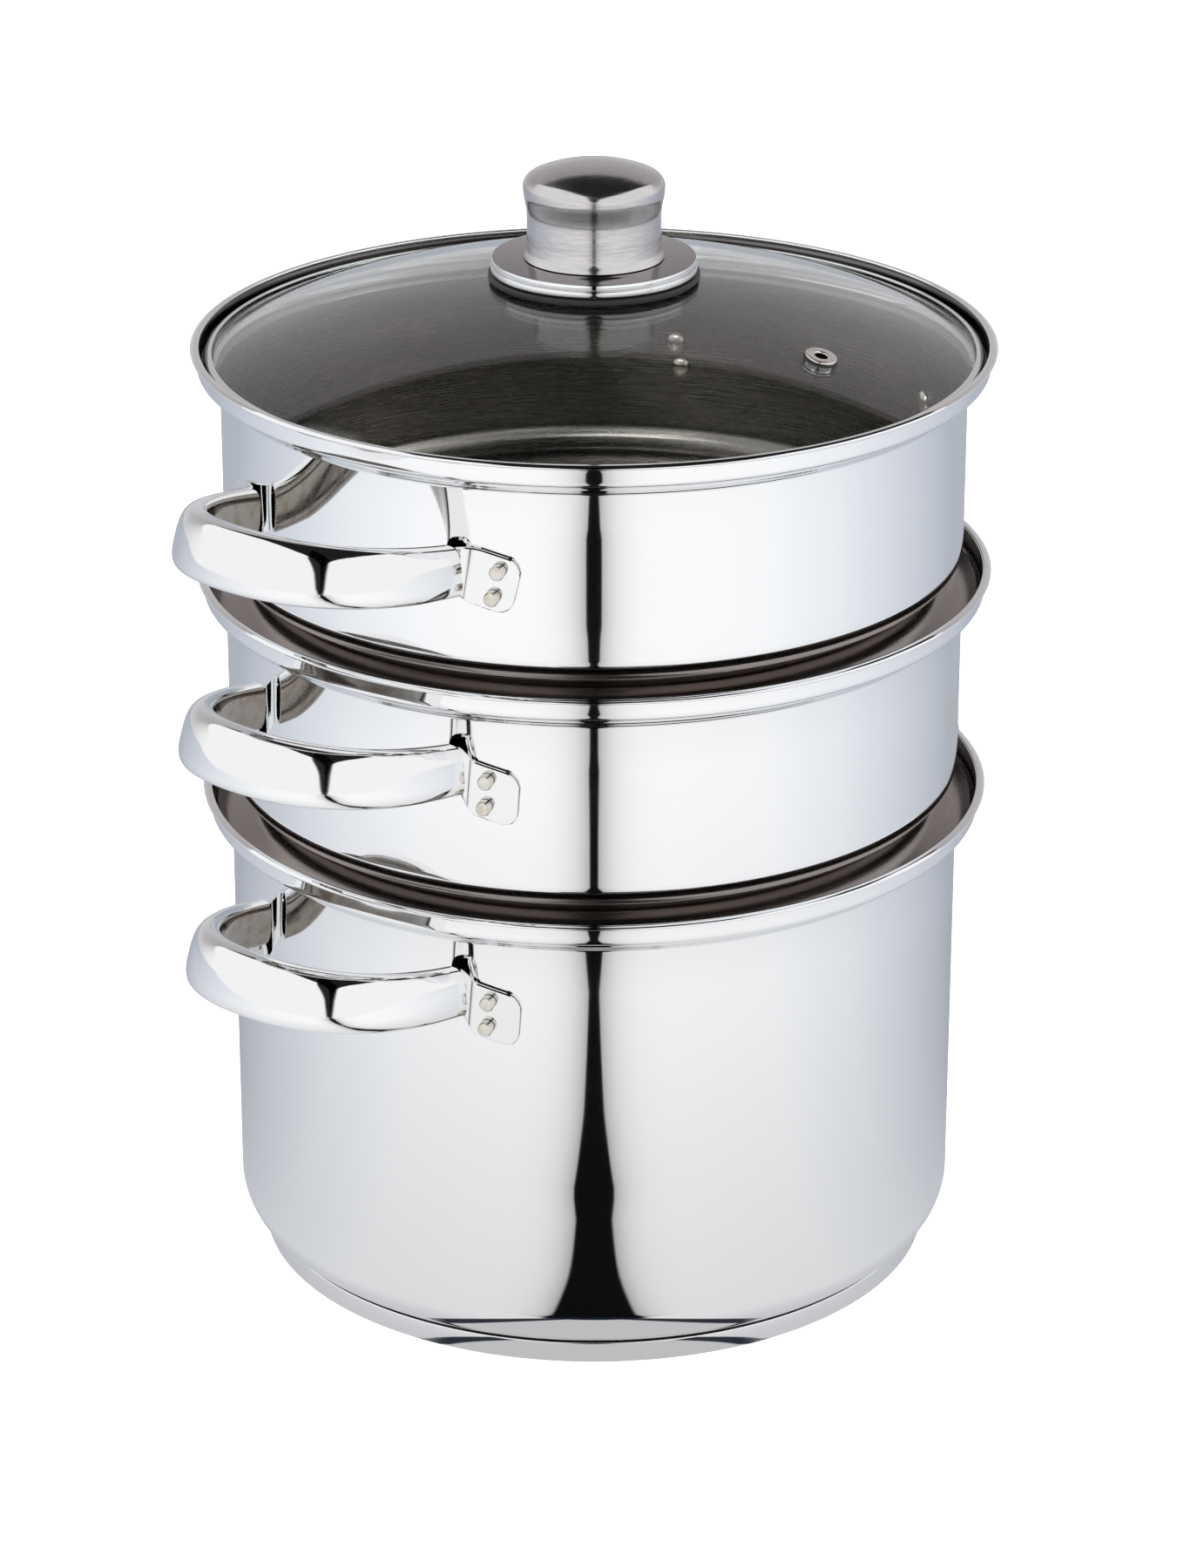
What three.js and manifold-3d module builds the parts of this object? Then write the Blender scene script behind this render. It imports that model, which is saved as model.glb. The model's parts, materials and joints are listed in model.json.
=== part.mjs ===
// Three-tier steamer pot: a deep pot, two perforated baskets that stack on it, and a glass lid.
// Millimetres, +Z up. The origin is the centre of the underside of the pot's base.
// The handles lie along X, and all tiers share the Z axis.

import * as THREE from "three";
import * as BufferGeometryUtils from "three/addons/utils/BufferGeometryUtils.js";
import Module from "manifold-3d";

const wasm = await Module();
wasm.setup();

// Driving dimensions shared by all tiers

const bodyInnerRadius = 110;        // inside of the straight wall, a 22 cm vessel
const sheet = 0.8;                  // thickness of the steel sheet
const clearance = 0.3;              // gap between pieces that rest on or in each other
const seatClearance = 0.38;         // gap between a shoulder and the foot of what sits on it
const overrun = 2;                  // how far a cutting tool passes through what it cuts
const tierPitch = 69;               // height that each basket adds to the stack

// Rim, its heights measured from the lip line, the widest circle of the lip

const bellFlare = 6.7;              // how much wider the bell below the lip is than the wall
const lipOverhang = 2;              // from the bell's outside out to the widest circle of the lip
const lipRise = 0.8;                // top of the lip above the lip line
const lipUnder = 0.5;               // underside of the lip below the lip line
const lipCrownWidth = 1.9;          // from the widest circle in to the top of the lip
const bellDepth = 5;                // bottom of the straight bell below the lip line
const shoulderHeight = 5.8;         // height of the S-shaped shoulder below the bell
const seatPlay = 1.5;               // radial room between a bell and what sits in it

// Pot and base

const potLipHeight = 148.6;         // lip line of the pot above the table
const potCornerRadius = 14;         // outside radius where the pot's wall turns into its floor
const baseHeight = 5.5;             // thickness of the encapsulated base
const baseInset = 7.2;              // from the wall's outside in to the base cap
const baseSheet = 0.6;              // thickness of the cap's steel
const baseEdge = 1.2;               // rounding of the cap's lower edge

// Baskets

const basketFloorLift = 0.4;        // underside of the floor above the lip line of the tier below
const basketCornerRadius = 9;       // outside radius of the lower corner
const holeRadius = 3.5;             // radius of a steam hole
const holeFieldInset = 38;          // from the wall's inside in to the last ring of holes
const holesPerRing = 6;             // holes in the first ring, and how many each ring adds
const holeRings = 3;
const seatRingFlat = 5.5;           // width of the seat ring's flat top
const seatRingSkirt = 1.2;          // height of the turned-down edge of the seat ring

// Handles: a hollow tapered tube bent into a loop, half of it on each side of the X axis

const handleReach = 43.4;           // from the wall to the middle of the grip
const handleGap = 4.3;              // from the wall out to the middle of the tube's open end
const handleHalfSpan = 38.6;        // half the distance between the two ends
const handleRise = 7.2;             // how much higher the grip is than the ends
const gripHeight = 16.8;            // height of the tube at the grip
const gripThickness = 9;            // thickness of the tube at the grip
const gripLean = 17;                // degrees by which its outline leans in at the grip
const endHeight = 14.8;             // height of the tube at its ends
const endThickness = 8.4;           // thickness of the tube at its ends
const endLean = 6;                  // degrees by which its outline leans in at its ends
const tubeWall = 1;                 // thickness of the tube's steel
const legShare = 0.555;             // straightness of the legs, as a share of the tube's reach
const bowShare = 0.74;              // breadth of the grip's bow, as a share of the half span
const handleSteps = 10;

// The tube's outline, as shares of its half thickness (outward) and half height
const tubeOutlineShares = [
  [1, -0.5], [1, 0.5], [0.6, 1], [-0.6, 1], [-1, 0.5], [-1, -0.5], [-0.6, -1], [0.6, -1],
];

// Brackets and rivets

const bracketSheet = 1.2;           // thickness of a bracket
const tabHeight = 16.2;             // height of the tab on the wall
const tabCornerRadius = 4.5;        // rounding of the tab's outer corners
const neckHeight = 14.2;            // height of the bracket just before the handle's end
const neckGap = 0.5;                // gap between that neck and the handle's end
const neckShares = [0.3, 0.65, 1];  // where the neck bends, as shares of its length
const neckEaseShare = 0.4;          // how far each end of the neck runs straight on
const tongueLength = 8;             // how far the tongue enters the handle
const tongueHeight = 8.4;           // height of the tongue
const tongueOffset = 1.2;           // from the middle of the tube outwards to the tongue
const tongueStep = 0.1;             // length of the step from the neck down to the tongue
const tongueShares = [0.5, 1];      // where the tongue bends, as shares of its length
const tabCornerShares = [0, 0.12, 0.4, 1];
const rivetPitch = 8;               // distance between the two rivets of a bracket
const rivetLevelShares = [["upper", 0.5], ["lower", -0.5]];
const rivetHeadRadius = 2.2;
const rivetHeadHeight = 2.6;
const rivetShankRadius = 1.6;
const rivetInnerRadius = 3.2;
const rivetInnerHeight = 1.6;
const rivetDomeRadiusShare = 0.6;   // where the inner head's rounding ends
const rivetDomeHeightShare = 0.85;  // how much of the inner head's height is reached there

// Per tier: how far the handle ends and the tabs lie below the lip line, from a handle's end
// sideways to the rivets, from there to the tab's outer edge and in to where the bracket starts
// to bend, and the tab's tilt in degrees
const lowPlaces = {
  handleDrop: 24.5, tabDrop: 31.6, rivetOffset: 6.8, tabOuter: 9.2, tabInner: 3.4, tabTilt: 4,
};
const topPlaces = {
  handleDrop: 33.8, tabDrop: 37.1, rivetOffset: 9.8, tabOuter: 5.8, tabInner: 5.9, tabTilt: 12,
};
const tierPlaces = [
  { name: "pot", ...lowPlaces },
  { name: "middle", ...lowPlaces },
  { name: "top", ...topPlaces },
];

// Lid, its heights measured from the lip line of the top basket unless they say otherwise

const lidRingBand = 2.2;            // width of the band that shows around the glass
const lidRingSheet = 0.6;           // thickness of the lid ring's steel
const lidRingFlange = 4.4;          // how far the lower flange reaches in under the glass
const lidRingFlangeDrop = 1.95;     // how far the lower flange drops on its way in
const lidRingCrownDrop = 0.8;       // drop from the band's inner edge to its outer edge
const glassThickness = 3;
const glassRise = 23.8;             // height of the dome's middle above its edge
const glassEdgeInset = 1.2;         // from the seat radius in to the edge of the glass
const glassEdgeLift = 0.44;         // underside of that edge above the foot of the lid ring
const knobHoleRadius = 4;

const seatDiscRadius = 31.3;        // black sealing disc
const seatDiscThickness = 2;
const flangeRadius = 30.5;          // steel disc under the knob
const flangeThickness = 4.1;
const flangeEdge = 0.4;             // rounding of its upper edge

const knobBottomRadius = 20.8;      // flared foot of the knob
const knobNeckRadius = 19.8;        // narrowest part
const knobRadius = 20.9;            // widest part
const knobHeight = 28.2;            // from the foot to the top
const knobNeckHeight = 8;           // of the narrowest part above the foot
const knobBellyHeight = 8.4;        // of the widest part above the upper end of the neck
const knobFlareHeightShare = 0.29;  // where on the way to the neck the foot's flare ends
const knobFlareShare = 0.2;         // how much of the foot's flare is left there
const knobEdgeRadius = 3.8;         // rounding between the side and the top
const knobEdgeTurn = 73;            // degrees through which that rounding turns
const knobCrown = 3.4;              // rise of the domed top above that rounding
const knobCrownShare = 0.7;         // how much of that rise is reached halfway to the axis
const knobSheet = 1;
const knobCoreRadius = 8;
const knobCoreRoom = 8.1;           // from the top of the plug to the top of the knob

const screwRadius = 2.5;
const screwHeadRadius = 5;
const screwHeadHeight = 2.6;
const screwCrownShare = 0.6;        // radius of the head's flat, as a share of the head's
const screwReach = 14;              // how far the screw goes into the knob's plug
const washerRadius = 11;
const washerThickness = 1.4;

const ventInset = 33;               // from the edge of the glass in to the vent
const ventAngle = -87;              // degrees from +X
const eyeletBore = 2;
const eyeletSheet = 0.7;
const grommetWall = 0.7;            // thickness of the grommet's barrel
const grommetLip = 1.3;             // how far its flanges reach over the glass
const grommetThickness = 0.7;
const eyeletInset = 0.3;            // how much smaller the eyelet's flanges are than the grommet's
const ventPlay = 0.25;              // radial room between glass, grommet and eyelet

// Fineness of the round surfaces

const vesselSegments = 40;
const knobSegments = 24;
const smallSegments = 12;
const rivetSegments = 6;
const cornerSteps = 3;
const shoulderSteps = 3;
const domeSteps = 5;

// Values that follow from the ones above

const bodyOuterRadius = bodyInnerRadius + sheet;
const bellInnerRadius = bodyInnerRadius + bellFlare;
const bellOuterRadius = bellInnerRadius + sheet;
const lipRadius = bellOuterRadius + lipOverhang;
const seatRadius = bellInnerRadius - seatPlay;
const baseRadius = bodyOuterRadius - baseInset;
const shoulderDepth = bellDepth + shoulderHeight;
const middleLipHeight = potLipHeight + tierPitch;
const topLipHeight = middleLipHeight + tierPitch;
const potFloorHeight = baseHeight + clearance;
const basketFloorDepth = tierPitch - basketFloorLift;
const seatRingWaistRadius = bodyOuterRadius - basketCornerRadius - clearance;
const seatRingInnerRadius = seatRingWaistRadius - seatRingFlat;
const holeRingPitch = (bodyInnerRadius - holeFieldInset) / holeRings;

const steel = new THREE.MeshStandardMaterial({ color: 0xd9dbde, roughness: 0.12, metalness: 1 });
const steelInside = new THREE.MeshStandardMaterial({ color: 0xc4c6c9, roughness: 0.3, metalness: 1 });
const handleSteel = new THREE.MeshStandardMaterial({ color: 0xdadcdf, roughness: 0.15, metalness: 1 });
const rivetSteel = new THREE.MeshStandardMaterial({ color: 0xcfcfcd, roughness: 0.35, metalness: 1 });
const aluminium = new THREE.MeshStandardMaterial({ color: 0xb5b7ba, roughness: 0.5, metalness: 1 });
const glass = new THREE.MeshStandardMaterial({
  color: 0x6f7478, roughness: 0.05, metalness: 0, transparent: true, opacity: 0.45,
});
const blackSeal = new THREE.MeshStandardMaterial({ color: 0x141416, roughness: 0.6, metalness: 0 });
const plug = new THREE.MeshStandardMaterial({ color: 0x2a2a2c, roughness: 0.5, metalness: 0 });

// Geometry helpers

const radians = THREE.MathUtils.degToRad;
const degrees = THREE.MathUtils.radToDeg;

// Joins equal vertices and leaves out triangles that have collapsed to a line
function merged(geometry) {
  const bare = geometry.clone();
  bare.deleteAttribute("normal");
  bare.deleteAttribute("uv");
  const joined = BufferGeometryUtils.mergeVertices(bare);
  const corners = joined.index.array;
  const kept = [];
  for (let i = 0; i < corners.length; i += 3) {
    const [a, b, c] = [corners[i], corners[i + 1], corners[i + 2]];
    if (a !== b && b !== c && c !== a) kept.push(a, b, c);
  }
  joined.setIndex(kept);
  return joined;
}

function toSolid(geometry) {
  const joined = merged(geometry);
  const vertProperties = new Float32Array(joined.attributes.position.array);
  const triVerts = new Uint32Array(joined.index.array);
  return new wasm.Manifold(new wasm.Mesh({ numProp: 3, vertProperties, triVerts }));
}

function toGeometry(solid) {
  const result = solid.getMesh();
  const geometry = new THREE.BufferGeometry();
  geometry.setAttribute("position", new THREE.BufferAttribute(result.vertProperties, 3));
  geometry.setIndex(new THREE.BufferAttribute(result.triVerts, 1));
  return geometry;
}

function cut(geometry, tools) {
  let solid = toSolid(geometry);
  for (const tool of tools) solid = solid.subtract(toSolid(tool));
  return toGeometry(solid);
}

// A surface of revolution about Z from an outline of [radius, height] pairs, counter-clockwise
function revolve(outline, segments) {
  const points = outline.map(([radius, height]) => new THREE.Vector2(radius, height));
  return merged(new THREE.LatheGeometry(points, segments).rotateX(Math.PI / 2));
}

function revolveRing(outline, segments) {
  return revolve([...outline, outline[0]], segments);
}

// A closed skin through rings of equally many points, capped at both ends or joined in a loop
function skin(rings, loop) {
  const positions = rings.flat().flatMap((point) => [point.x, point.y, point.z]);
  const count = rings[0].length;
  const index = [];
  const last = loop ? rings.length : rings.length - 1;
  for (let i = 0; i < last; i += 1) {
    const here = i * count;
    const next = ((i + 1) % rings.length) * count;
    for (let j = 0; j < count; j += 1) {
      const k = (j + 1) % count;
      index.push(here + j, here + k, next + k);
      index.push(here + j, next + k, next + j);
    }
  }
  if (!loop) {
    const end = (rings.length - 1) * count;
    for (let j = 1; j < count - 1; j += 1) {
      index.push(0, j + 1, j);
      index.push(end, end + j, end + j + 1);
    }
  }
  const geometry = new THREE.BufferGeometry();
  geometry.setAttribute("position", new THREE.Float32BufferAttribute(positions, 3));
  geometry.setIndex(index);
  return facingOut(geometry);
}

// Turns the triangles over if they enclose a negative volume
function facingOut(geometry) {
  const position = geometry.attributes.position;
  const corners = geometry.index.array;
  const [a, b, c] = [new THREE.Vector3(), new THREE.Vector3(), new THREE.Vector3()];
  let volume = 0;
  for (let i = 0; i < corners.length; i += 3) {
    a.fromBufferAttribute(position, corners[i]);
    b.fromBufferAttribute(position, corners[i + 1]);
    c.fromBufferAttribute(position, corners[i + 2]);
    volume += a.dot(b.cross(c));
  }
  if (volume < 0) {
    for (let i = 0; i < corners.length; i += 3) {
      [corners[i], corners[i + 1]] = [corners[i + 1], corners[i]];
    }
  }
  return geometry;
}

function named(name, geometry, material) {
  const mesh = new THREE.Mesh(geometry, material);
  mesh.name = name;
  return mesh;
}

// Points of a round corner, as [radius, height] pairs
function cornerArc(centreRadius, centreHeight, radius, fromAngle, toAngle, steps) {
  const points = [];
  for (let i = 0; i <= steps; i += 1) {
    const angle = radians(fromAngle + (toAngle - fromAngle) * (i / steps));
    points.push([centreRadius + radius * Math.cos(angle), centreHeight + radius * Math.sin(angle)]);
  }
  return points;
}

// The S-shaped shoulder between the wall and the bell, walked upwards
function shoulder(wallRadius, flaredRadius, lipLine) {
  const points = [];
  for (let i = 0; i <= shoulderSteps; i += 1) {
    const share = i / shoulderSteps;
    const swell = (1 - Math.cos(Math.PI * share)) / 2;
    points.push([
      wallRadius + (flaredRadius - wallRadius) * swell,
      lipLine - shoulderDepth + shoulderHeight * share,
    ]);
  }
  return points;
}

// Height below the lip line at which the inside of the shoulder has a given radius
function shoulderDrop(radius) {
  const swell = (radius - bodyInnerRadius) / (bellInnerRadius - bodyInnerRadius);
  return shoulderDepth - shoulderHeight * (Math.acos(1 - 2 * swell) / Math.PI);
}

// Where a seat ring's lower edge lies below the lip line of the tier that carries it
const seatDrop = shoulderDrop(seatRadius) - seatClearance;

// Vessel shells

function vesselOutline(lipLine, floorUnderside, cornerRadius) {
  const cornerCentre = bodyOuterRadius - cornerRadius;
  const cornerHeight = floorUnderside + cornerRadius;
  return [
    [0, floorUnderside],
    ...cornerArc(cornerCentre, cornerHeight, cornerRadius, -90, 0, cornerSteps),
    ...shoulder(bodyOuterRadius, bellOuterRadius, lipLine),
    [bellOuterRadius, lipLine - lipUnder],
    [lipRadius, lipLine - lipUnder],
    [lipRadius, lipLine + lipUnder],
    [lipRadius - lipCrownWidth / 2, lipLine + lipRise],
    [bellInnerRadius, lipLine + lipRise],
    ...shoulder(bodyInnerRadius, bellInnerRadius, lipLine).reverse(),
    ...cornerArc(cornerCentre, cornerHeight, cornerRadius - sheet, 0, -90, cornerSteps),
    [0, floorUnderside + sheet],
  ];
}

function radialCylinder(radius, from, to, angle, height, segments) {
  const cylinder = new THREE.CylinderGeometry(radius, radius, to - from, segments);
  cylinder.rotateZ(-Math.PI / 2);
  cylinder.translate((from + to) / 2, 0, height);
  cylinder.rotateZ(radians(angle));
  return cylinder;
}

// Angle from the X axis to the middle between the two rivets of a bracket
function rivetAngle(tier) {
  return Math.asin((handleHalfSpan + tier.rivetOffset) / bodyOuterRadius);
}

// The two rivets of a bracket: degrees from the X axis and height above the middle of the tab
function rivetPair(tier) {
  const tilt = radians(tier.tabTilt);
  return rivetLevelShares.map(([level, share]) => {
    const step = share * rivetPitch;
    const aside = (step * Math.sin(tilt)) / bodyOuterRadius;
    return { level, angle: degrees(rivetAngle(tier) + aside), rise: step * Math.cos(tilt) };
  });
}

// Every rivet place of a tier: its name, its angle about Z and its height
function rivetPlaces(tier, lipLine) {
  const places = [];
  for (const [side, axis] of [["left", 180], ["right", 0]]) {
    for (const [end, sign] of handleEnds(side)) {
      for (const { level, angle, rise } of rivetPair(tier)) {
        places.push({
          name: `${tier.name}_${side}_${end}_${level}_rivet`,
          angle: axis + sign * angle,
          height: lipLine - tier.tabDrop + rise,
        });
      }
    }
  }
  return places;
}

// The front end of a handle is the one towards -Y
function handleEnds(side) {
  return side === "left" ? [["front", 1], ["rear", -1]] : [["front", -1], ["rear", 1]];
}

function rivetHoles(tier, lipLine) {
  const radius = rivetShankRadius + clearance;
  return rivetPlaces(tier, lipLine).map(({ angle, height }) => radialCylinder(
    radius, bodyInnerRadius - overrun, bodyOuterRadius + overrun, angle, height, rivetSegments,
  ));
}

function steamHoles(floorUnderside) {
  const tools = [];
  const length = sheet + 2 * overrun;
  for (let ring = 0; ring <= holeRings; ring += 1) {
    const count = Math.max(1, ring * holesPerRing);
    for (let i = 0; i < count; i += 1) {
      const angle = (2 * Math.PI * i) / count;
      const tool = new THREE.CylinderGeometry(holeRadius, holeRadius, length, rivetSegments);
      tool.rotateX(Math.PI / 2);
      tool.translate(
        ring * holeRingPitch * Math.cos(angle),
        ring * holeRingPitch * Math.sin(angle),
        floorUnderside + sheet / 2,
      );
      tools.push(tool);
    }
  }
  return tools;
}

function potShell(tier) {
  const outline = vesselOutline(potLipHeight, potFloorHeight, potCornerRadius);
  const shell = cut(revolve(outline, vesselSegments), rivetHoles(tier, potLipHeight));
  return named("pot_shell", shell, steel);
}

function basketShell(tier, lipLine) {
  const floor = lipLine - basketFloorDepth;
  const outline = vesselOutline(lipLine, floor, basketCornerRadius);
  const tools = [...rivetHoles(tier, lipLine), ...steamHoles(floor)];
  const shell = cut(revolve(outline, vesselSegments), tools);
  return named(`${tier.name}_basket_shell`, shell, steel);
}

// A flared ring under the basket's floor, which rests on the shoulder of the tier below
function seatRing(tier, lipLine) {
  const top = lipLine - basketFloorDepth - clearance;
  const foot = lipLine - tierPitch - seatDrop;
  const brim = foot + seatRingSkirt;
  const flare = (seatRadius - seatRingWaistRadius) / 2;
  const ring = revolveRing([
    [seatRingInnerRadius, top - sheet],
    [seatRingWaistRadius, top - sheet],
    [seatRingWaistRadius + flare, (top + brim) / 2 - sheet],
    [seatRadius - sheet, brim - sheet],
    [seatRadius - sheet, foot],
    [seatRadius, foot],
    [seatRadius, brim],
    [seatRingWaistRadius + flare, (top + brim) / 2],
    [seatRingWaistRadius, top],
    [seatRingInnerRadius, top],
  ], vesselSegments);
  return named(`${tier.name}_seat_ring`, ring, steelInside);
}

// Base

function baseCap() {
  const inner = baseRadius - baseSheet;
  const cap = revolve([
    [0, 0],
    [baseRadius - baseEdge, 0],
    [baseRadius, baseEdge],
    [baseRadius, baseHeight],
    [inner, baseHeight],
    [inner, baseEdge],
    [inner - baseEdge / 2, baseSheet],
    [0, baseSheet],
  ], vesselSegments);
  return named("base_cap", cap, steel);
}

function baseCore() {
  const radius = baseRadius - baseSheet - clearance;
  const core = revolve([
    [0, baseSheet + clearance],
    [radius - baseEdge, baseSheet + clearance],
    [radius, baseEdge + clearance],
    [radius, baseHeight],
    [0, baseHeight],
  ], vesselSegments);
  return named("base_core", core, aluminium);
}

// Handles

const handleStartX = Math.sqrt(bodyOuterRadius ** 2 - handleHalfSpan ** 2) + handleGap;
const handleGripX = bodyOuterRadius + handleReach;
const handleRun = handleGripX - handleStartX;

function handleCurve() {
  return new THREE.CubicBezierCurve(
    new THREE.Vector2(handleStartX, handleHalfSpan),
    new THREE.Vector2(handleStartX + legShare * handleRun, handleHalfSpan),
    new THREE.Vector2(handleGripX, bowShare * handleHalfSpan),
    new THREE.Vector2(handleGripX, 0),
  );
}

// One place along the handle: 0 at the +Y end, 0.5 at the grip, 1 at the -Y end
function handleStation(share) {
  const curve = handleCurve();
  const along = share <= 0.5 ? share * 2 : 2 - share * 2;
  const flip = share <= 0.5 ? 1 : -1;
  const point = curve.getPoint(along);
  const tangent = curve.getTangent(along);
  const reach = (point.x - handleStartX) / handleRun;
  return {
    centre: new THREE.Vector3(point.x, point.y * flip, handleRise * reach),
    outward: new THREE.Vector3(-tangent.y, tangent.x * flip, 0),
    halfThickness: (endThickness + (gripThickness - endThickness) * reach) / 2,
    halfHeight: (endHeight + (gripHeight - endHeight) * reach) / 2,
    lean: Math.tan(radians(endLean + (gripLean - endLean) * reach)),
  };
}

// The tube's outline at a place, its top leaning in towards the pot
function tubeSection(station, inset) {
  const { centre, outward, halfThickness, halfHeight, lean } = station;
  return tubeOutlineShares.map(([across, up]) => {
    const rise = up * (halfHeight - inset);
    const out = across * (halfThickness - inset) - lean * rise;
    const point = centre.clone().addScaledVector(outward, out);
    point.z += rise;
    return point;
  });
}

function handleTube() {
  const stations = [];
  for (let i = 0; i <= handleSteps; i += 1) stations.push(handleStation(i / handleSteps));
  const outer = stations.map((station) => tubeSection(station, 0));
  const inner = stations.map((station) => tubeSection(station, tubeWall));
  return skin([...outer, ...inner.reverse()], true);
}

// Brackets: a tab on the wall, a bent neck, and a tongue that enters the handle's open end.
// This is the one at the +Y end of the handle on +X. Heights are from the handle end's middle.

// The tab, from its outer edge to where the bend starts
function tabPath(tier) {
  const radius = bodyOuterRadius + clearance + bracketSheet / 2;
  const slope = Math.tan(radians(tier.tabTilt));
  const onWall = (reach, half) => {
    const angle = rivetAngle(tier) + reach / radius;
    return {
      place: new THREE.Vector2(radius * Math.cos(angle), radius * Math.sin(angle)),
      half,
      height: tier.handleDrop - tier.tabDrop - reach * slope,
      slant: new THREE.Vector2(-Math.sin(angle), Math.cos(angle)).multiplyScalar(slope),
    };
  };
  const path = tabCornerShares.map((share) => {
    const dip = tabCornerRadius * (1 - Math.sqrt(1 - (1 - share) ** 2));
    return onWall(tier.tabOuter - share * tabCornerRadius, tabHeight / 2 - dip);
  });
  path.push(onWall(-tier.tabInner, tabHeight / 2));
  return path;
}

// The bend from the tab to just before the handle's end
function neckPath(tab) {
  const start = tab[tab.length - 1];
  const back = start.place.clone().sub(tab[tab.length - 2].place).normalize();
  const end = new THREE.Vector2(handleStartX - neckGap, handleHalfSpan + tongueOffset);
  const ease = neckEaseShare * end.distanceTo(start.place);
  const bend = new THREE.CubicBezierCurve(
    start.place,
    start.place.clone().addScaledVector(back, ease),
    new THREE.Vector2(end.x - ease, end.y),
    end,
  );
  return neckShares.map((share) => {
    const swell = share * share * (3 - 2 * share);
    return {
      place: bend.getPoint(share),
      half: start.half + (neckHeight / 2 - start.half) * swell,
      height: start.height * (1 - swell),
      slant: start.slant.clone().multiplyScalar(1 - swell),
    };
  });
}

function tonguePath() {
  const half = tongueHeight / 2;
  const slant = new THREE.Vector2(0, 0);
  const mouth = new THREE.Vector2(
    handleStartX - neckGap + tongueStep, handleHalfSpan + tongueOffset,
  );
  const curve = handleCurve();
  const inside = tongueShares.map((share) => {
    const along = (share * tongueLength) / (3 * legShare * handleRun);
    const way = curve.getTangent(along);
    const aside = new THREE.Vector2(-way.y, way.x).multiplyScalar(tongueOffset);
    const place = curve.getPoint(along).add(aside);
    return { place, half, height: handleRise * ((place.x - handleStartX) / handleRun), slant };
  });
  return [{ place: mouth, half, height: 0, slant }, ...inside];
}

function bracket(tier) {
  const tab = tabPath(tier);
  const path = [...tab, ...neckPath(tab), ...tonguePath()];
  const rings = path.map((step, i) => {
    const before = path[Math.max(0, i - 1)].place;
    const after = path[Math.min(path.length - 1, i + 1)].place;
    const along = after.clone().sub(before).normalize();
    const side = new THREE.Vector2(-along.y, along.x).multiplyScalar(bracketSheet / 2);
    return [[1, 1], [1, -1], [-1, -1], [-1, 1]].map(([across, up]) => new THREE.Vector3(
      step.place.x + across * side.x + up * step.half * step.slant.x,
      step.place.y + across * side.y + up * step.half * step.slant.y,
      step.height + up * step.half,
    ));
  });
  const holes = rivetPair(tier).map(({ angle, rise }) => radialCylinder(
    rivetShankRadius + clearance,
    bodyOuterRadius - overrun,
    bodyOuterRadius + bracketSheet + overrun,
    angle,
    tier.handleDrop - tier.tabDrop + rise,
    rivetSegments,
  ));
  return cut(skin(rings, false), holes);
}

// A rivet along X, its outer head on the bracket and its domed inner head inside the wall
function rivet() {
  const flat = Math.cos(Math.PI / vesselSegments);
  const outerFace = bodyOuterRadius + bracketSheet + 2 * clearance;
  const innerFace = bodyInnerRadius * flat - clearance;
  const body = revolve([
    [0, innerFace - rivetInnerHeight],
    [rivetInnerRadius * rivetDomeRadiusShare, innerFace - rivetInnerHeight * rivetDomeHeightShare],
    [rivetInnerRadius, innerFace],
    [rivetShankRadius, innerFace],
    [rivetShankRadius, outerFace],
    [rivetHeadRadius, outerFace],
    [rivetHeadRadius, outerFace + rivetHeadHeight],
    [0, outerFace + rivetHeadHeight],
  ], rivetSegments);
  return body.rotateY(Math.PI / 2);
}

// Handles, brackets and rivets of one tier
function fittings(tier, lipLine) {
  const group = new THREE.Group();
  const tube = handleTube();
  const plate = bracket(tier);
  const mirrored = facingOut(plate.clone().scale(1, -1, 1));
  const level = lipLine - tier.handleDrop;
  for (const [side, turn] of [["left", Math.PI], ["right", 0]]) {
    const pair = new THREE.Group();
    pair.add(named(`${tier.name}_${side}_handle`, tube, handleSteel));
    for (const [end, sign] of handleEnds(side)) {
      const shape = sign > 0 ? plate : mirrored;
      pair.add(named(`${tier.name}_${side}_${end}_bracket`, shape, steel));
    }
    pair.rotation.z = turn;
    pair.position.z = level;
    group.add(pair);
  }
  const pin = rivet();
  for (const place of rivetPlaces(tier, lipLine)) {
    const mesh = named(place.name, pin, rivetSteel);
    mesh.rotation.z = radians(place.angle);
    mesh.position.z = place.height;
    group.add(mesh);
  }
  return group;
}

// Lid

const glassEdgeRadius = seatRadius - glassEdgeInset;
const glassEdgeTop = glassEdgeLift + glassThickness - seatDrop;
const lidRingTop = glassEdgeTop + clearance + lidRingSheet + lidRingCrownDrop;
const domeRadius = (glassEdgeRadius ** 2 + glassRise ** 2) / (2 * glassRise);

// Height of the top of the glass above the lip line, at a distance from the axis
function domeHeight(radius) {
  const drop = domeRadius - Math.sqrt(domeRadius ** 2 - radius ** 2);
  return glassEdgeTop + glassRise - drop;
}

function domeArc(fromRadius, toRadius, lift) {
  const points = [];
  for (let i = 0; i <= domeSteps; i += 1) {
    const radius = fromRadius + (toRadius - fromRadius) * (i / domeSteps);
    points.push([radius, topLipHeight + domeHeight(radius) + lift]);
  }
  return points;
}

// The grommet is a spool in the hole of the glass, and the eyelet is a spool in the grommet
const ventRadius = glassEdgeRadius - ventInset;
const grommetBore = eyeletBore + eyeletSheet + ventPlay;
const ventHoleRadius = grommetBore + grommetWall + ventPlay;
const grommetRadius = ventHoleRadius + grommetLip;
const eyeletRadius = grommetRadius - eyeletInset;

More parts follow.
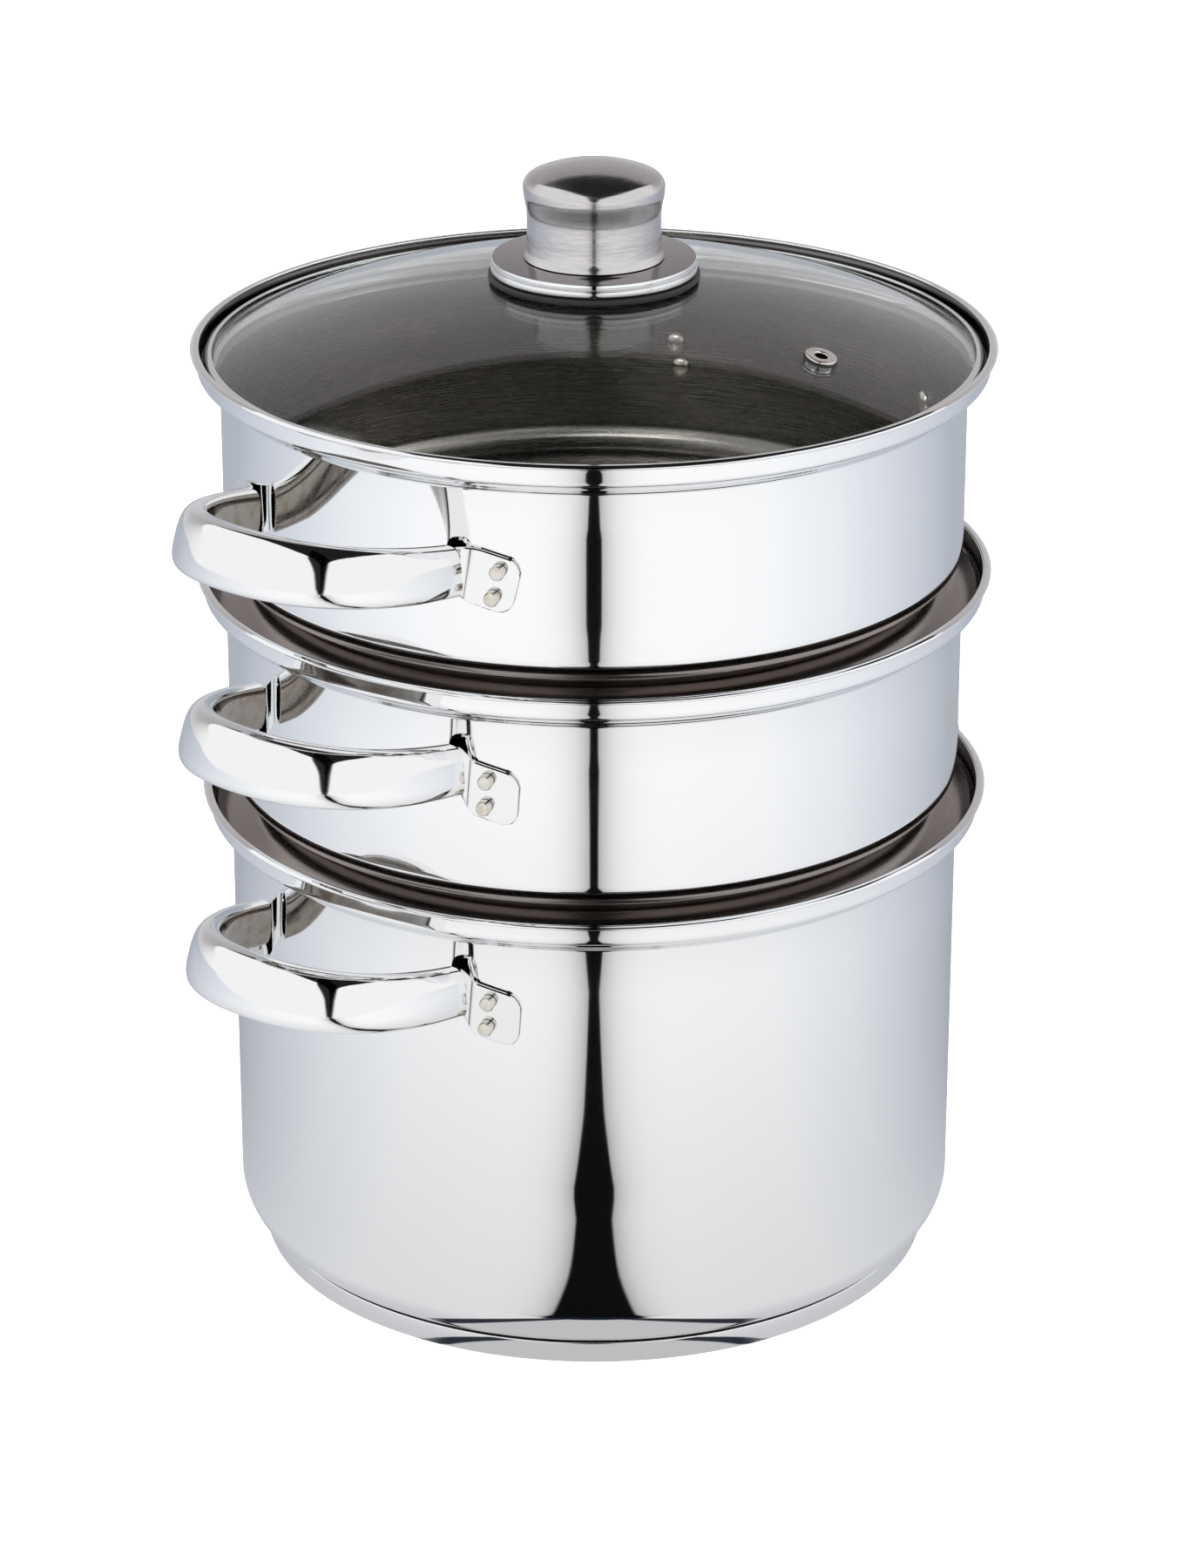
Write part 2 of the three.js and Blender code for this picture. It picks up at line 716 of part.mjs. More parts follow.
function lidGlass() {
  const outline = [
    ...domeArc(knobHoleRadius, glassEdgeRadius, -glassThickness),
    ...domeArc(glassEdgeRadius, knobHoleRadius, 0),
  ];
  const hole = new THREE.CylinderGeometry(
    ventHoleRadius, ventHoleRadius, glassThickness + 4 * overrun, smallSegments,
  );
  hole.rotateX(Math.PI / 2);
  const pane = cut(revolveRing(outline, vesselSegments), [onVent(hole, -glassThickness / 2)]);
  return named("lid_glass", pane, glass);
}

// Puts a piece made along Z at the vent, square to the dome, a height above the glass
function onVent(geometry, height) {
  const tilt = Math.asin(ventRadius / domeRadius);
  geometry.translate(0, 0, height);
  geometry.rotateY(tilt);
  geometry.translate(ventRadius, 0, topLipHeight + domeHeight(ventRadius));
  geometry.rotateZ(radians(ventAngle));
  return geometry;
}

function lidRing() {
  const top = topLipHeight + lidRingTop;
  const foot = topLipHeight - seatDrop;
  const bandInner = seatRadius - lidRingBand;
  const flangeInner = seatRadius - lidRingFlange;
  const crown = top - lidRingCrownDrop;
  const inside = seatRadius - lidRingSheet;
  const ring = revolveRing([
    [flangeInner, foot - lidRingFlangeDrop],
    [seatRadius, foot],
    [seatRadius, crown],
    [seatRadius - lidRingBand / 2, top - lidRingCrownDrop / 3],
    [bandInner, top],
    [bandInner, top - lidRingSheet],
    [inside, crown - lidRingSheet],
    [inside, foot + lidRingSheet / 2],
    [flangeInner, foot - lidRingFlangeDrop + lidRingSheet],
  ], vesselSegments);
  return named("lid_ring", ring, steel);
}

const seatDiscTop = topLipHeight + domeHeight(seatDiscRadius) + clearance + seatDiscThickness;
const flangeBottom = seatDiscTop + clearance;
const knobFoot = flangeBottom + flangeThickness + clearance;

// The sealing disc's underside follows the dome
function knobSeat() {
  const under = (radius) => topLipHeight + domeHeight(radius) + clearance;
  const disc = revolveRing([
    [knobHoleRadius, under(knobHoleRadius)],
    [seatDiscRadius / 2, under(seatDiscRadius / 2)],
    [seatDiscRadius, under(seatDiscRadius)],
    [seatDiscRadius, seatDiscTop],
    [knobHoleRadius, seatDiscTop],
  ], knobSegments);
  return named("knob_seat", disc, blackSeal);
}

function knobFlange() {
  const top = flangeBottom + flangeThickness;
  const disc = revolveRing([
    [knobHoleRadius, flangeBottom],
    [flangeRadius, flangeBottom],
    [flangeRadius, top - flangeEdge],
    [flangeRadius - flangeEdge, top],
    [knobHoleRadius, top],
  ], knobSegments);
  return named("knob_flange", disc, steel);
}

// The knob's outside, from the foot up to the axis, moved inwards by an inset
function knobSide(inset) {
  const edge = knobEdgeRadius - inset;
  const flare = knobNeckRadius + (knobBottomRadius - knobNeckRadius) * knobFlareShare;
  const crownFoot = knobFoot + knobHeight - knobCrown;
  const edgeCentreRadius = knobRadius - knobEdgeRadius;
  const edgeCentreHeight = crownFoot - knobEdgeRadius * Math.sin(radians(knobEdgeTurn));
  return [
    [knobBottomRadius - inset, knobFoot],
    [flare - inset, knobFoot + knobNeckHeight * knobFlareHeightShare],
    [knobNeckRadius - inset, knobFoot + knobNeckHeight],
    [knobNeckRadius - inset, edgeCentreHeight - knobBellyHeight],
    [(knobNeckRadius + knobRadius) / 2 - inset, edgeCentreHeight - knobBellyHeight / 2],
    ...cornerArc(edgeCentreRadius, edgeCentreHeight, edge, 0, knobEdgeTurn, cornerSteps),
    [edgeCentreRadius / 2, crownFoot + knobCrown * knobCrownShare - inset],
    [0, crownFoot + knobCrown - inset],
  ];
}

// A hollow shell, open below: down its inside from the axis, then up its outside to the axis
function lidKnob() {
  const inside = knobSide(knobSheet).reverse();
  const shell = revolve([...inside, ...knobSide(0)], knobSegments);
  return named("lid_knob", shell, handleSteel);
}

function knobCore() {
  const top = knobFoot + knobHeight - knobCoreRoom;
  const core = revolveRing([
    [screwRadius + clearance, knobFoot],
    [knobCoreRadius, knobFoot],
    [knobCoreRadius, top],
    [screwRadius + clearance, top],
  ], smallSegments);
  return named("knob_core", core, plug);
}

const washerTop = topLipHeight + domeHeight(washerRadius) - glassThickness - clearance;
const screwHeadTop = washerTop - washerThickness - clearance;

function lidWasher() {
  const disc = revolveRing([
    [screwRadius + clearance, washerTop - washerThickness],
    [washerRadius, washerTop - washerThickness],
    [washerRadius, washerTop],
    [screwRadius + clearance, washerTop],
  ], smallSegments);
  return named("lid_washer", disc, rivetSteel);
}

function lidScrew() {
  const screw = revolve([
    [0, screwHeadTop - screwHeadHeight],
    [screwHeadRadius * screwCrownShare, screwHeadTop - screwHeadHeight],
    [screwHeadRadius, screwHeadTop - screwHeadHeight / 2],
    [screwHeadRadius, screwHeadTop],
    [screwRadius, screwHeadTop],
    [screwRadius, knobFoot + screwReach],
    [0, knobFoot + screwReach],
  ], smallSegments);
  return named("lid_screw", screw, rivetSteel);
}

function ventGrommet() {
  const barrel = grommetBore + grommetWall;
  const upper = clearance;
  const lower = -glassThickness - clearance;
  const spool = revolveRing([
    [grommetBore, lower - grommetThickness],
    [grommetRadius, lower - grommetThickness],
    [grommetRadius, lower],
    [barrel, lower],
    [barrel, upper],
    [grommetRadius, upper],
    [grommetRadius, upper + grommetThickness],
    [grommetBore, upper + grommetThickness],
  ], smallSegments);
  return named("vent_grommet", onVent(spool, 0), blackSeal);
}

function ventEyelet() {
  const barrel = eyeletBore + eyeletSheet;
  const upper = grommetThickness + 2 * clearance;
  const lower = -glassThickness - grommetThickness - 2 * clearance;
  const spool = revolveRing([
    [eyeletBore, lower - eyeletSheet],
    [eyeletRadius, lower - eyeletSheet],
    [eyeletRadius, lower],
    [barrel, lower],
    [barrel, upper],
    [eyeletRadius, upper],
    [eyeletRadius - eyeletSheet / 2, upper + eyeletSheet],
    [eyeletBore + eyeletSheet / 2, upper + eyeletSheet],
    [eyeletBore, upper + eyeletSheet / 2],
  ], smallSegments);
  return named("vent_eyelet", onVent(spool, 0), rivetSteel);
}

// The stack

const [potTier, middleTier, topTier] = tierPlaces;
const steamer = new THREE.Group();

steamer.add(potShell(potTier), baseCap(), baseCore(), fittings(potTier, potLipHeight));

for (const [tier, lipLine] of [[middleTier, middleLipHeight], [topTier, topLipHeight]]) {
  steamer.add(basketShell(tier, lipLine), seatRing(tier, lipLine), fittings(tier, lipLine));
}

steamer.add(
  lidGlass(), lidRing(), knobSeat(), knobFlange(), lidKnob(), knobCore(),
  lidWasher(), lidScrew(), ventGrommet(), ventEyelet(),
);

export default steamer;
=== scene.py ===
# Looks of the three-tier steamer pot, in the frame of its CAD model: +Z up, handles along X.
# Shapes are worked out in millimetres and become metres when a mesh is made.

import json
import math

import bpy
import bmesh
from mathutils import Matrix, Vector


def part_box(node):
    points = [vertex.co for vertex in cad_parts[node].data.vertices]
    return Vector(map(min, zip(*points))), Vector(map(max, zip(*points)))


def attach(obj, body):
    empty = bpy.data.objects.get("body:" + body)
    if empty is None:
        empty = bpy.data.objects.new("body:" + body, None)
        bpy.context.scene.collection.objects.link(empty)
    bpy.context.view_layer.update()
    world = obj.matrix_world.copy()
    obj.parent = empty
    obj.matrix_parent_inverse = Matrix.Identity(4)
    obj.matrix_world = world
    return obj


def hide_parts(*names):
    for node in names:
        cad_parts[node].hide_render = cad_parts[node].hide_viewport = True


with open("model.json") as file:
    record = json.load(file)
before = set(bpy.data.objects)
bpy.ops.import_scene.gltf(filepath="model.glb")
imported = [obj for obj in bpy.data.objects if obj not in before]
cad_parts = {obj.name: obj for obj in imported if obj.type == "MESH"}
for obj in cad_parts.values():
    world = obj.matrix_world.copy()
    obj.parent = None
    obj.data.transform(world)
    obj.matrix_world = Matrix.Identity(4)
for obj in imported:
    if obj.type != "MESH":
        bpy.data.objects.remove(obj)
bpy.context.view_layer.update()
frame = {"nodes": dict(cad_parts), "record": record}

MM = 0.001
DEGREES = 180 / math.pi
WHITE = (1, 1, 1, 1)

# Driving dimensions, named as in the CAD model

SHEET = 0.8
CLEARANCE = 0.3
BODY_R = 110.8
BODY_INNER_R = BODY_R - SHEET
BELL_R = 117.5
BELL_INNER_R = BELL_R - SHEET
LIP_R = 119.5
LIP_RISE = 0.8
LIP_UNDER = 0.5
LIP_EDGE = 0.5
LIP_EDGE_RISE_SHARE = 0.55
LIP_SLOPE = 1.2
LIP_FALL = 0.1
LIP_ROUNDS = (0.3, 0.3, 0.4, 0.6, 0.8, 0.5)
BELL_DEPTH = 5.0
BELL_RUN = 1.0
SHOULDER_H = 5.8
SHOULDER_DEPTH = BELL_DEPTH + SHOULDER_H
TIER_PITCH = 69.0
POT_LIP = 148.6
POT_CORNER_R = 14.0
BASKET_CORNER_R = 9.0
BASKET_FLOOR_DEPTH = TIER_PITCH - 0.4
BASE_H = 5.5
BASE_TOP = 6.7
BASE_R = 103.6
BASE_SHEET = 0.6
BASE_FOOT_ROUND = 1.2
BASE_INNER_ROUND = 0.8
BASE_RIM_ROUNDS = (0.35, 0.2)
HOLE_R = 3.5
HOLE_PITCH = 24.0
HOLE_RINGS = 3
HOLES_PER_RING = 6
CUT_MARGIN = 2.0
SEAT_R = 115.2
SEAT_DROP = 6.44
SEAT_LAND = 0.4
SEAT_FACE = 1.2
SEAT_FLANGE = 5.5
SEAT_ROUNDS = (1.5, 0.6, 0.2, 1.0, 2.3)

RIVET_PITCH = 8.0
RIVET_HEAD_R = 2.2
RIVET_HEAD_H = 2.6
RIVET_INNER_R = 3.2
RIVET_INNER_H = 1.6
RIVET_SHANK_R = 1.6
RIVET_EYE_R = 0.5
RIVET_EYE_RISE = 0.1
RIVET_ROUNDS = (0.55, 0.3)

HANDLE_REACH = 43.4
HANDLE_GAP = 4.3
HANDLE_HALF_SPAN = 38.6
HANDLE_RISE = 7.2
GRIP_SIZE = (9.0, 16.8)
END_SIZE = (8.4, 14.8)
END_LEAN = 6.0
GRIP_LEAN = 17.0
TUBE_WALL = 1.0
LEG_SHARE = 0.555
BOW_SHARE = 0.74
TUBE_POWER = 3.0
TUBE_STEPS = 72
INNER_FACE_SHARE = 0.17

BRACKET_SHEET = 1.2
BRACKET_EDGE = 0.35
TAB_H = 16.2
TAB_CORNER_R = 4.5
NECK_HALF = 7.1
NECK_GAP = 0.5
NECK_STEP = 0.1
NECK_PULL_SHARE = 0.4
TONGUE = 8.0
TONGUE_HALF = 4.2
TONGUE_OFFSET = 1.2
TONGUE_SHARES = (0, 0.25, 0.5, 0.75, 1)

GLASS_R = 114.0
GLASS_T = 3.0
GLASS_RISE = 23.8
GLASS_EDGE_TOP = -3.0
GLASS_EDGE_ROUND = 1.2
DOME_R = (GLASS_R ** 2 + GLASS_RISE ** 2) / (2 * GLASS_RISE)
BAND_RISE = 0.6
BAND_SHEET = 0.7
BAND_LIP = 2.2
BAND_LIP_EDGE = 1.2
BAND_LIP_T = 0.65
BAND_UNDER = 0.1
BAND_FOOT = 4.4
BAND_FOOT_DROP = 1.95
BAND_FOOT_T = 0.6
BAND_SEAT = 0.4
BAND_ROUNDS = (0.1, 0.7, 0.9, 0.8, 0.35, 0.1, 0.3, 0.3, 0.1)
VENT_INSET = 33.0
VENT_TURN = -87.0
VENT_HOLE_R = 4.2
VENT_CUT = (-8.0, 6.0)
KNOB_HOLE_R = 4.0
SEAT_DISC_R = 31.3
SEAT_DISC_T = 2.0
SEAT_DISC_RADII = (KNOB_HOLE_R, 12.0, 20.0, 27.0, SEAT_DISC_R)
SEAT_DISC_ROUNDS = (0.6, 0.5)
FLANGE_R = 30.5
FLANGE_T = 4.1
FLANGE_GROOVE = 2.1
GROOVE_HALF = 0.2
GROOVE_DEPTH = 0.5
FLANGE_STEP = 0.2
FLANGE_ROUNDS = (0.6, 0.5, 0.1, 0.3, 0.4)
KNOB_FOOT_R = 20.8
KNOB_NECK_R = 19.8
KNOB_R = 20.9
KNOB_H = 28.2
KNOB_EDGE_R = 3.8
KNOB_EDGE_TURN = 66.0
KNOB_CROWN = 3.75
KNOB_CROWN_POWER = 2.2
KNOB_WALL = 1.0
KNOB_ROOF_R = 15.0
WASHER_R = 11.0
WASHER_HOLE_R = 2.8
WASHER_ROUND = 0.3

# Vent pieces: bore, wall, reach of the lips, their distance from the glass, and their thickness
GROMMET_SIZES = (3.15, 0.75, 1.1, 0.2, 0.6)
EYELET_SIZES = (2.0, 0.9, 1.8, 0.9, 0.8)
SPOOL_ROUNDS = (0.3, 0.35, 0.2, 0.2, 0.35, 0.4)

# How much of the foot's flare is left at a height, and of the waist's bulge at a drop below it
KNOB_FLARE_SHARES = [(0.0, 1.0), (0.9, 0.72), (2.3, 0.2), (4.6, 0.03), (8.0, 0.0)]
KNOB_BELLY_SHARES = [(8.4, 0.0), (6.3, 0.16), (4.2, 0.5), (2.1, 0.86), (0.0, 1.0)]

SEGMENTS = 256
DISC_SEGMENTS = 128
SMALL_SEGMENTS = 48
PIN_SEGMENTS = 32
CORNER_STEPS = 16
GLASS_STEPS = 40
BEND_STEPS = 8
RUN_STEPS = 4
SHARP_ANGLE = 35.0
ROUND_SHARP_ANGLE = 50.0

# Depth of the grain and of the brushed lines in metres, and the tinted rim of the glass

GRAIN_DEPTH = 0.0002
BRUSH_DEPTH = 0.0004
GLASS_TINT = (1.2, 0.2)

# The top basket's handles sit lower, and its brackets are riveted further out and askew.
# Drops count from the lip, and the tab's reach goes both ways from its rivets.
LOW_PLACES = {"handle_drop": 24.5, "tab_drop": 31.6, "rivet_offset": 6.8, "tab_outer": 9.2,
              "tab_inner": 3.4, "tab_tilt": 4.0, "tab_slope": 14.0}
TOP_PLACES = {"handle_drop": 33.8, "tab_drop": 37.1, "rivet_offset": 9.8, "tab_outer": 5.8,
              "tab_inner": 5.9, "tab_tilt": 12.0, "tab_slope": 14.0}
TIERS = {
    "pot": {"lip": POT_LIP, **LOW_PLACES},
    "middle": {"lip": POT_LIP + TIER_PITCH, **LOW_PLACES},
    "top": {"lip": POT_LIP + 2 * TIER_PITCH, **TOP_PLACES},
}
TOP_LIP = TIERS["top"]["lip"]
TAB_LEVELS = (-8.0, -6.5, -4.0, -1.5, 1.5, 4.0, 6.5, 8.0)

BODY_OF = {n: b for b, nodes in frame["record"]["behaviour"]["bodies"].items() for n in nodes}

# Camera, in metres and with its lens in millimetres

CAMERA_PLACE = (-1.0906, -0.9151, 0.7296)
CAMERA_AIM = (0.70855, 0.59470, -0.38021)
CAMERA_SENSOR = 36.0
CAMERA_LENS = 115.19
CAMERA_SHIFT = -0.0031
CAMERA_CLIP = (0.05, 50.0)

# Lamps: place and size in metres, then watts

LAMPS = {"key": ((-1.4, -0.6, 1.8), 1.2, 22.0), "fill": ((1.0, -1.6, 1.2), 1.2, 10.0)}
LAMP_AIM = (0, 0, 0.15)

# Directions on the floor, from the axis towards the camera and to the camera's right

TO_CAMERA = Vector((-0.7660, -0.6428, 0.0))
TO_RIGHT = Vector((0.6428, -0.7660, 0.0))

# Paper that the object stands on, and how brightly it glows for the eye and for glass

FLOOR_HALF = 6000.0
FLOOR_TOP = -0.05
PAPER_GREY = 0.8
PAPER_GLOW = 0.86

# What polished metal shows of the floor: brightness by distance from the axis, and tint by
# degrees from the camera's side

# The greys near the axis, from 100 to 120 mm, are painted shade of the object on the floor, seen in
# its reflection.
FLOOR_BY_DISTANCE = [(100, (0.60, 0.60, 0.62)), (112, (0.67, 0.67, 0.68)), (120, 0.78),
                     (210, 0.86), (330, 0.95), (415, 0.99), (530, 1.03), (680, 1.07),
                     (1500, 1.08)]
FLOOR_BY_TURN = [(0, 1.0), (20, 1.0), (50, (0.96, 0.97, 0.98)), (75, (0.84, 0.86, 0.89)),
                 (95, (0.70, 0.73, 0.78)), (115, (0.57, 0.60, 0.66)), (136, (0.44, 0.47, 0.53)),
                 (160, (0.42, 0.44, 0.48)), (180, (0.42, 0.44, 0.48))]

# Dark strip on the floor towards the camera: half width in units of 100 mm by distance, the
# width over which its edge turns sharp, the dim margin beside it and where it starts

# The strip's widening near the base, at 130 to 142 mm, is painted shade.
STRIP_HALF_WIDTH = [(130, 0.25), (142, 0.20), (161, 0.165), (169, 0.152), (184, 0.147),
                    (203, 0.147), (217, 0.18), (225, 0.188), (242, 0.168), (262, 0.149),
                    (281, 0.127), (330, 0.11), (415, 0.082),
                    (512, 0.104), (548, 0.12), (682, 0.21), (718, 0.27), (850, 0.33),
                    (2000, 0.9)]
STRIP_UNIT = 100.0
STRIP_EDGE = 1.6
STRIP_EDGE_SHARE = 0.7
STRIP_DARK = 0.010
STRIP_START = (131.0, 134.0)
MARGIN_DIM_SHARE = 0.54
MARGIN_FROM = 60.0
MARGIN_LEAST = 30.0
MARGIN_SHARE = 0.083

# Grey patch at the strip's foot, closed by a dark arch that comes nearer by the degree
# on both sides

ARCH_FLAT_TURN = 5.0
ARCH_PER_DEGREE = 1.4
ARCH_AT = 136.5
ARCH_HALF = (2.5, 4.0)
ARCH_FADE = (26.0, 36.0)
ARCH_SHARE = 0.97
ARCH_COLOUR = (0.008, 0.012, 0.022)
PATCH_EDGE = (132.0, 134.0)
PATCH_COLOUR = (0.57, 0.56, 0.57)

# Ceiling over the object. Its places are (sideways, towards the camera) / height.
# Half width of the dark gap between its two panels, by place towards the camera

GAP_HALF_WIDTH = [(-1.2, 0.80), (-1.0, 0.64), (-0.8, 0.53), (-0.5, 0.46), (0.0, 0.44),
                  (0.4, 0.40), (0.75, 0.30), (1.2, 0.18), (1.8, 0.10)]
GAP_MIDDLE = 0.12
GAP_EDGE = (-0.01, 0.03)
GAP_DARK = 0.012
HORIZON = 0.01

# Dark slit between the side panels in front: half width and edge in degrees

SLIT_RISE = (0.0, 44.0)
SLIT_HALF = (2.2, 12.0)
SLIT_EDGE = (-1.0, 2.0)
SLIT_DARK = 0.02

# Grey wall behind the object, by degrees above the horizon, and the ceiling's edge over it

BACK_WALL = [(0, (0.64, 0.64, 0.66)), (8, (0.58, 0.57, 0.58)), (16, (0.52, 0.50, 0.51)),
             (26, (0.47, 0.45, 0.46)), (36, (0.42, 0.40, 0.41)), (45, (0.42, 0.40, 0.41))]
BACK_TURN = (100.0, 140.0)
BACK_EDGE = -1.15
BACK_EDGE_HALF = 0.02
SOFT_SHARE = 0.3


# Mesh helpers

def new_object(name, verts, faces, sharp_angle=SHARP_ANGLE):
    mesh = bpy.data.meshes.new(name)
    mesh.from_pydata([Vector(v) * MM for v in verts], [], faces)
    return link(name, mesh, sharp_angle)


def link(name, mesh, sharp_angle=SHARP_ANGLE):
    mesh.validate()
    for polygon in mesh.polygons:
        polygon.use_smooth = True
    mesh.set_sharp_from_angle(angle=math.radians(sharp_angle))
    obj = bpy.data.objects.new(name, mesh)
    bpy.context.scene.collection.objects.link(obj)
    return obj


def rounded(points, steps=5, loop=False):
    """An outline with its corners rounded. A point is (x, y) or (x, y, radius)."""
    out = []
    count = len(points)
    for i, point in enumerate(points):
        radius = point[2] if len(point) > 2 else 0
        here = Vector(point[:2])
        if not radius or (not loop and i in (0, count - 1)):
            out.append(tuple(here))
            continue
        back = Vector(points[i - 1][:2]) - here
        ahead = Vector(points[(i + 1) % count][:2]) - here
        half_turn = back.angle(ahead) / 2
        reach = min(radius / math.tan(half_turn), back.length / 2, ahead.length / 2)
        radius = reach * math.tan(half_turn)
        start = here + back.normalized() * reach
        end = here + ahead.normalized() * reach
        centre = here + (back.normalized() + ahead.normalized()).normalized() * (
            radius / math.sin(half_turn))
        first = start - centre
        swing = first.angle_signed(end - centre)
        for k in range(steps + 1):
            out.append(tuple(centre + Matrix.Rotation(-swing * k / steps, 2) @ first))
    return out


def arc(centre, radius, from_deg, to_deg, steps):
    out = []
    for k in range(steps + 1):
        a = math.radians(from_deg + (to_deg - from_deg) * k / steps)
        out.append((centre[0] + radius * math.cos(a), centre[1] + radius * math.sin(a)))
    return out


def lathe(name, outline, segments=SEGMENTS, loop=False, sharp_angle=SHARP_ANGLE):
    """A surface of revolution about Z from (radius, height) points, counter-clockwise."""
    verts = []
    rows = []
    for radius, height in outline:
        if radius < 1e-6:
            rows.append([len(verts)] * segments)
            verts.append((0, 0, height))
            continue
        rows.append(list(range(len(verts), len(verts) + segments)))
        for k in range(segments):
            a = 2 * math.pi * k / segments
            verts.append((radius * math.cos(a), radius * math.sin(a), height))
    faces = []
    for low, high in zip(rows, rows[1:] + rows[:1] if loop else rows[1:]):
        for k in range(segments):
            n = (k + 1) % segments
            face = []
            for v in (low[k], low[n], high[n], high[k]):
                if v not in face:
                    face.append(v)
            faces.append(face)
    return new_object(name, verts, faces, sharp_angle)


def skin(name, rings, loop=False):
    """A closed skin through rings of equally many points, capped at its ends or looped."""
    count = len(rings[0])
    verts = [point for ring in rings for point in ring]
    faces = []
    for i in range(len(rings) if loop else len(rings) - 1):
        here = i * count
        ahead = ((i + 1) % len(rings)) * count
        for j in range(count):
            k = (j + 1) % count
            faces.append((here + j, here + k, ahead + k, ahead + j))
    if not loop:
        faces.append(tuple(reversed(range(count))))
        faces.append(tuple(range(len(verts) - count, len(verts))))
    return facing_out(new_object(name, verts, faces))


def facing_out(obj):
    shape = bmesh.new()
    shape.from_mesh(obj.data)
    bmesh.ops.recalc_face_normals(shape, faces=shape.faces)
    shape.to_mesh(obj.data)
    shape.free()
    return obj


def cylinder_at(verts, faces, radius, low, high, place, sides):
    """Adds a closed cylinder along Z, moved by the matrix place, to a list of vertices and faces."""
    first = len(verts)
    for height in (low, high):
        for k in range(sides):
            a = 2 * math.pi * (k + 0.5) / sides
            point = Vector((radius * math.cos(a), radius * math.sin(a), height))
            verts.append(place @ point)
    for k in range(sides):
        n = (k + 1) % sides
        faces.append((first + k, first + n, first + sides + n, first + sides + k))
    faces.append(tuple(first + k for k in reversed(range(sides))))
    faces.append(tuple(first + sides + k for k in range(sides)))


def drilled(obj, cylinders, sides=24):
    """Cuts cylinders, each (radius, low, high, place), out of an object."""
    verts = []
    faces = []
    for radius, low, high, place in cylinders:
        cylinder_at(verts, faces, radius, low, high, place, sides)
    tool = new_object(obj.name + "_tool", verts, faces)
    cut = obj.modifiers.new("holes", "BOOLEAN")
    cut.operation = "DIFFERENCE"
    cut.solver = "EXACT"
    cut.object = tool
    graph = bpy.context.evaluated_depsgraph_get()
    mesh = bpy.data.meshes.new_from_object(obj.evaluated_get(graph))
    name = obj.name
    for old in (obj, tool):
        bpy.data.objects.remove(old)
    for polygon in mesh.polygons:
        polygon.use_smooth = True
    mesh.name = name
    return link(name, mesh)


def stands_for(obj, node, *materials):
    """The object takes the CAD node's place and body, with the given materials in its slots."""
    obj.data.materials.clear()
    for material in materials:
        obj.data.materials.append(material)
    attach(obj, BODY_OF[node])
    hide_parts(node)
    return obj


# Material helpers

def add(tree, kind, inputs=None, **settings):
    made = tree.nodes.new(kind)
    for key, value in settings.items():
        setattr(made, key, value)
    for key, value in (inputs or {}).items():
        if isinstance(value, bpy.types.NodeSocket):
            tree.links.new(value, made.inputs[key])
        else:
            made.inputs[key].default_value = value
    return made


def calc(tree, operation, *values):
    made = add(tree, "ShaderNodeMath", dict(enumerate(values)), operation=operation)
    return made.outputs[0]


def dot(tree, vector, direction):
    made = add(tree, "ShaderNodeVectorMath", {0: vector, 1: tuple(direction)},
               operation="DOT_PRODUCT")
    return made.outputs["Value"]


def span(tree, value, low, high, to_low=0.0, to_high=1.0, smooth=True):
    made = add(tree, "ShaderNodeMapRange",
               {"Value": value, "From Min": low, "From Max": high,
                "To Min": to_low, "To Max": to_high},
               interpolation_type="SMOOTHSTEP" if smooth else "LINEAR")
    return made.outputs["Result"]


def table(tree, value, rows):
    """A colour looked up by a value. Rows are (value, grey or colour), in order."""
    low, high = rows[0][0], rows[-1][0]
    share = span(tree, value, low, high, smooth=False)
    made = add(tree, "ShaderNodeValToRGB", {"Fac": share})
    stops = made.color_ramp.elements
    while len(stops) < len(rows):
        stops.new(1.0)
    for stop, (place, colour) in zip(stops, rows):
        stop.position = (place - low) / (high - low)
        rgb = colour if isinstance(colour, tuple) else (colour,) * 3
        stop.color = (*rgb, 1.0)
    return made.outputs["Color"]


def blend(tree, share, a, b, mode="MIX"):
    made = add(tree, "ShaderNodeMix", {0: share}, data_type="RGBA", blend_type=mode)
    for key, value in ((6, a), (7, b)):
        if isinstance(value, bpy.types.NodeSocket):
            tree.links.new(value, made.inputs[key])
        else:
            made.inputs[key].default_value = (*value, 1.0)
    return made.outputs[2]


def noise(tree, vector, scale, detail=3.0, rough=0.5):
    made = add(tree, "ShaderNodeTexNoise",
               {"Vector": vector, "Scale": scale, "Detail": detail, "Roughness": rough})
    return made.outputs["Fac"]


def bump(tree, height, strength, distance):
    inputs = {"Height": height, "Strength": strength, "Distance": distance}
    return add(tree, "ShaderNodeBump", inputs).outputs["Normal"]


def new_material(name):
    material = bpy.data.materials.new(name)
    material.use_nodes = True
    shader = material.node_tree.nodes["Principled BSDF"]
    return material, material.node_tree, shader


def stretched(tree, scales):
    """The piece's own coordinates in metres, scaled along each axis."""
    place = add(tree, "ShaderNodeTexCoord").outputs["Object"]
    made = add(tree, "ShaderNodeMapping", {"Vector": place, "Scale": scales})
    return made.outputs["Vector"]


def polar(tree):
    """(radius, angle x 0.1, height) in metres, for lines that run round the axis."""
    place = add(tree, "ShaderNodeTexCoord").outputs["Object"]
    split = add(tree, "ShaderNodeSeparateXYZ", {0: place})
    x, y, z = split.outputs
    square = calc(tree, "ADD", calc(tree, "MULTIPLY", x, x), calc(tree, "MULTIPLY", y, y))
    radius = calc(tree, "SQRT", square)
    angle = calc(tree, "MULTIPLY", calc(tree, "ARCTAN2", y, x), 0.1)
    return radius, angle, z


# Materials

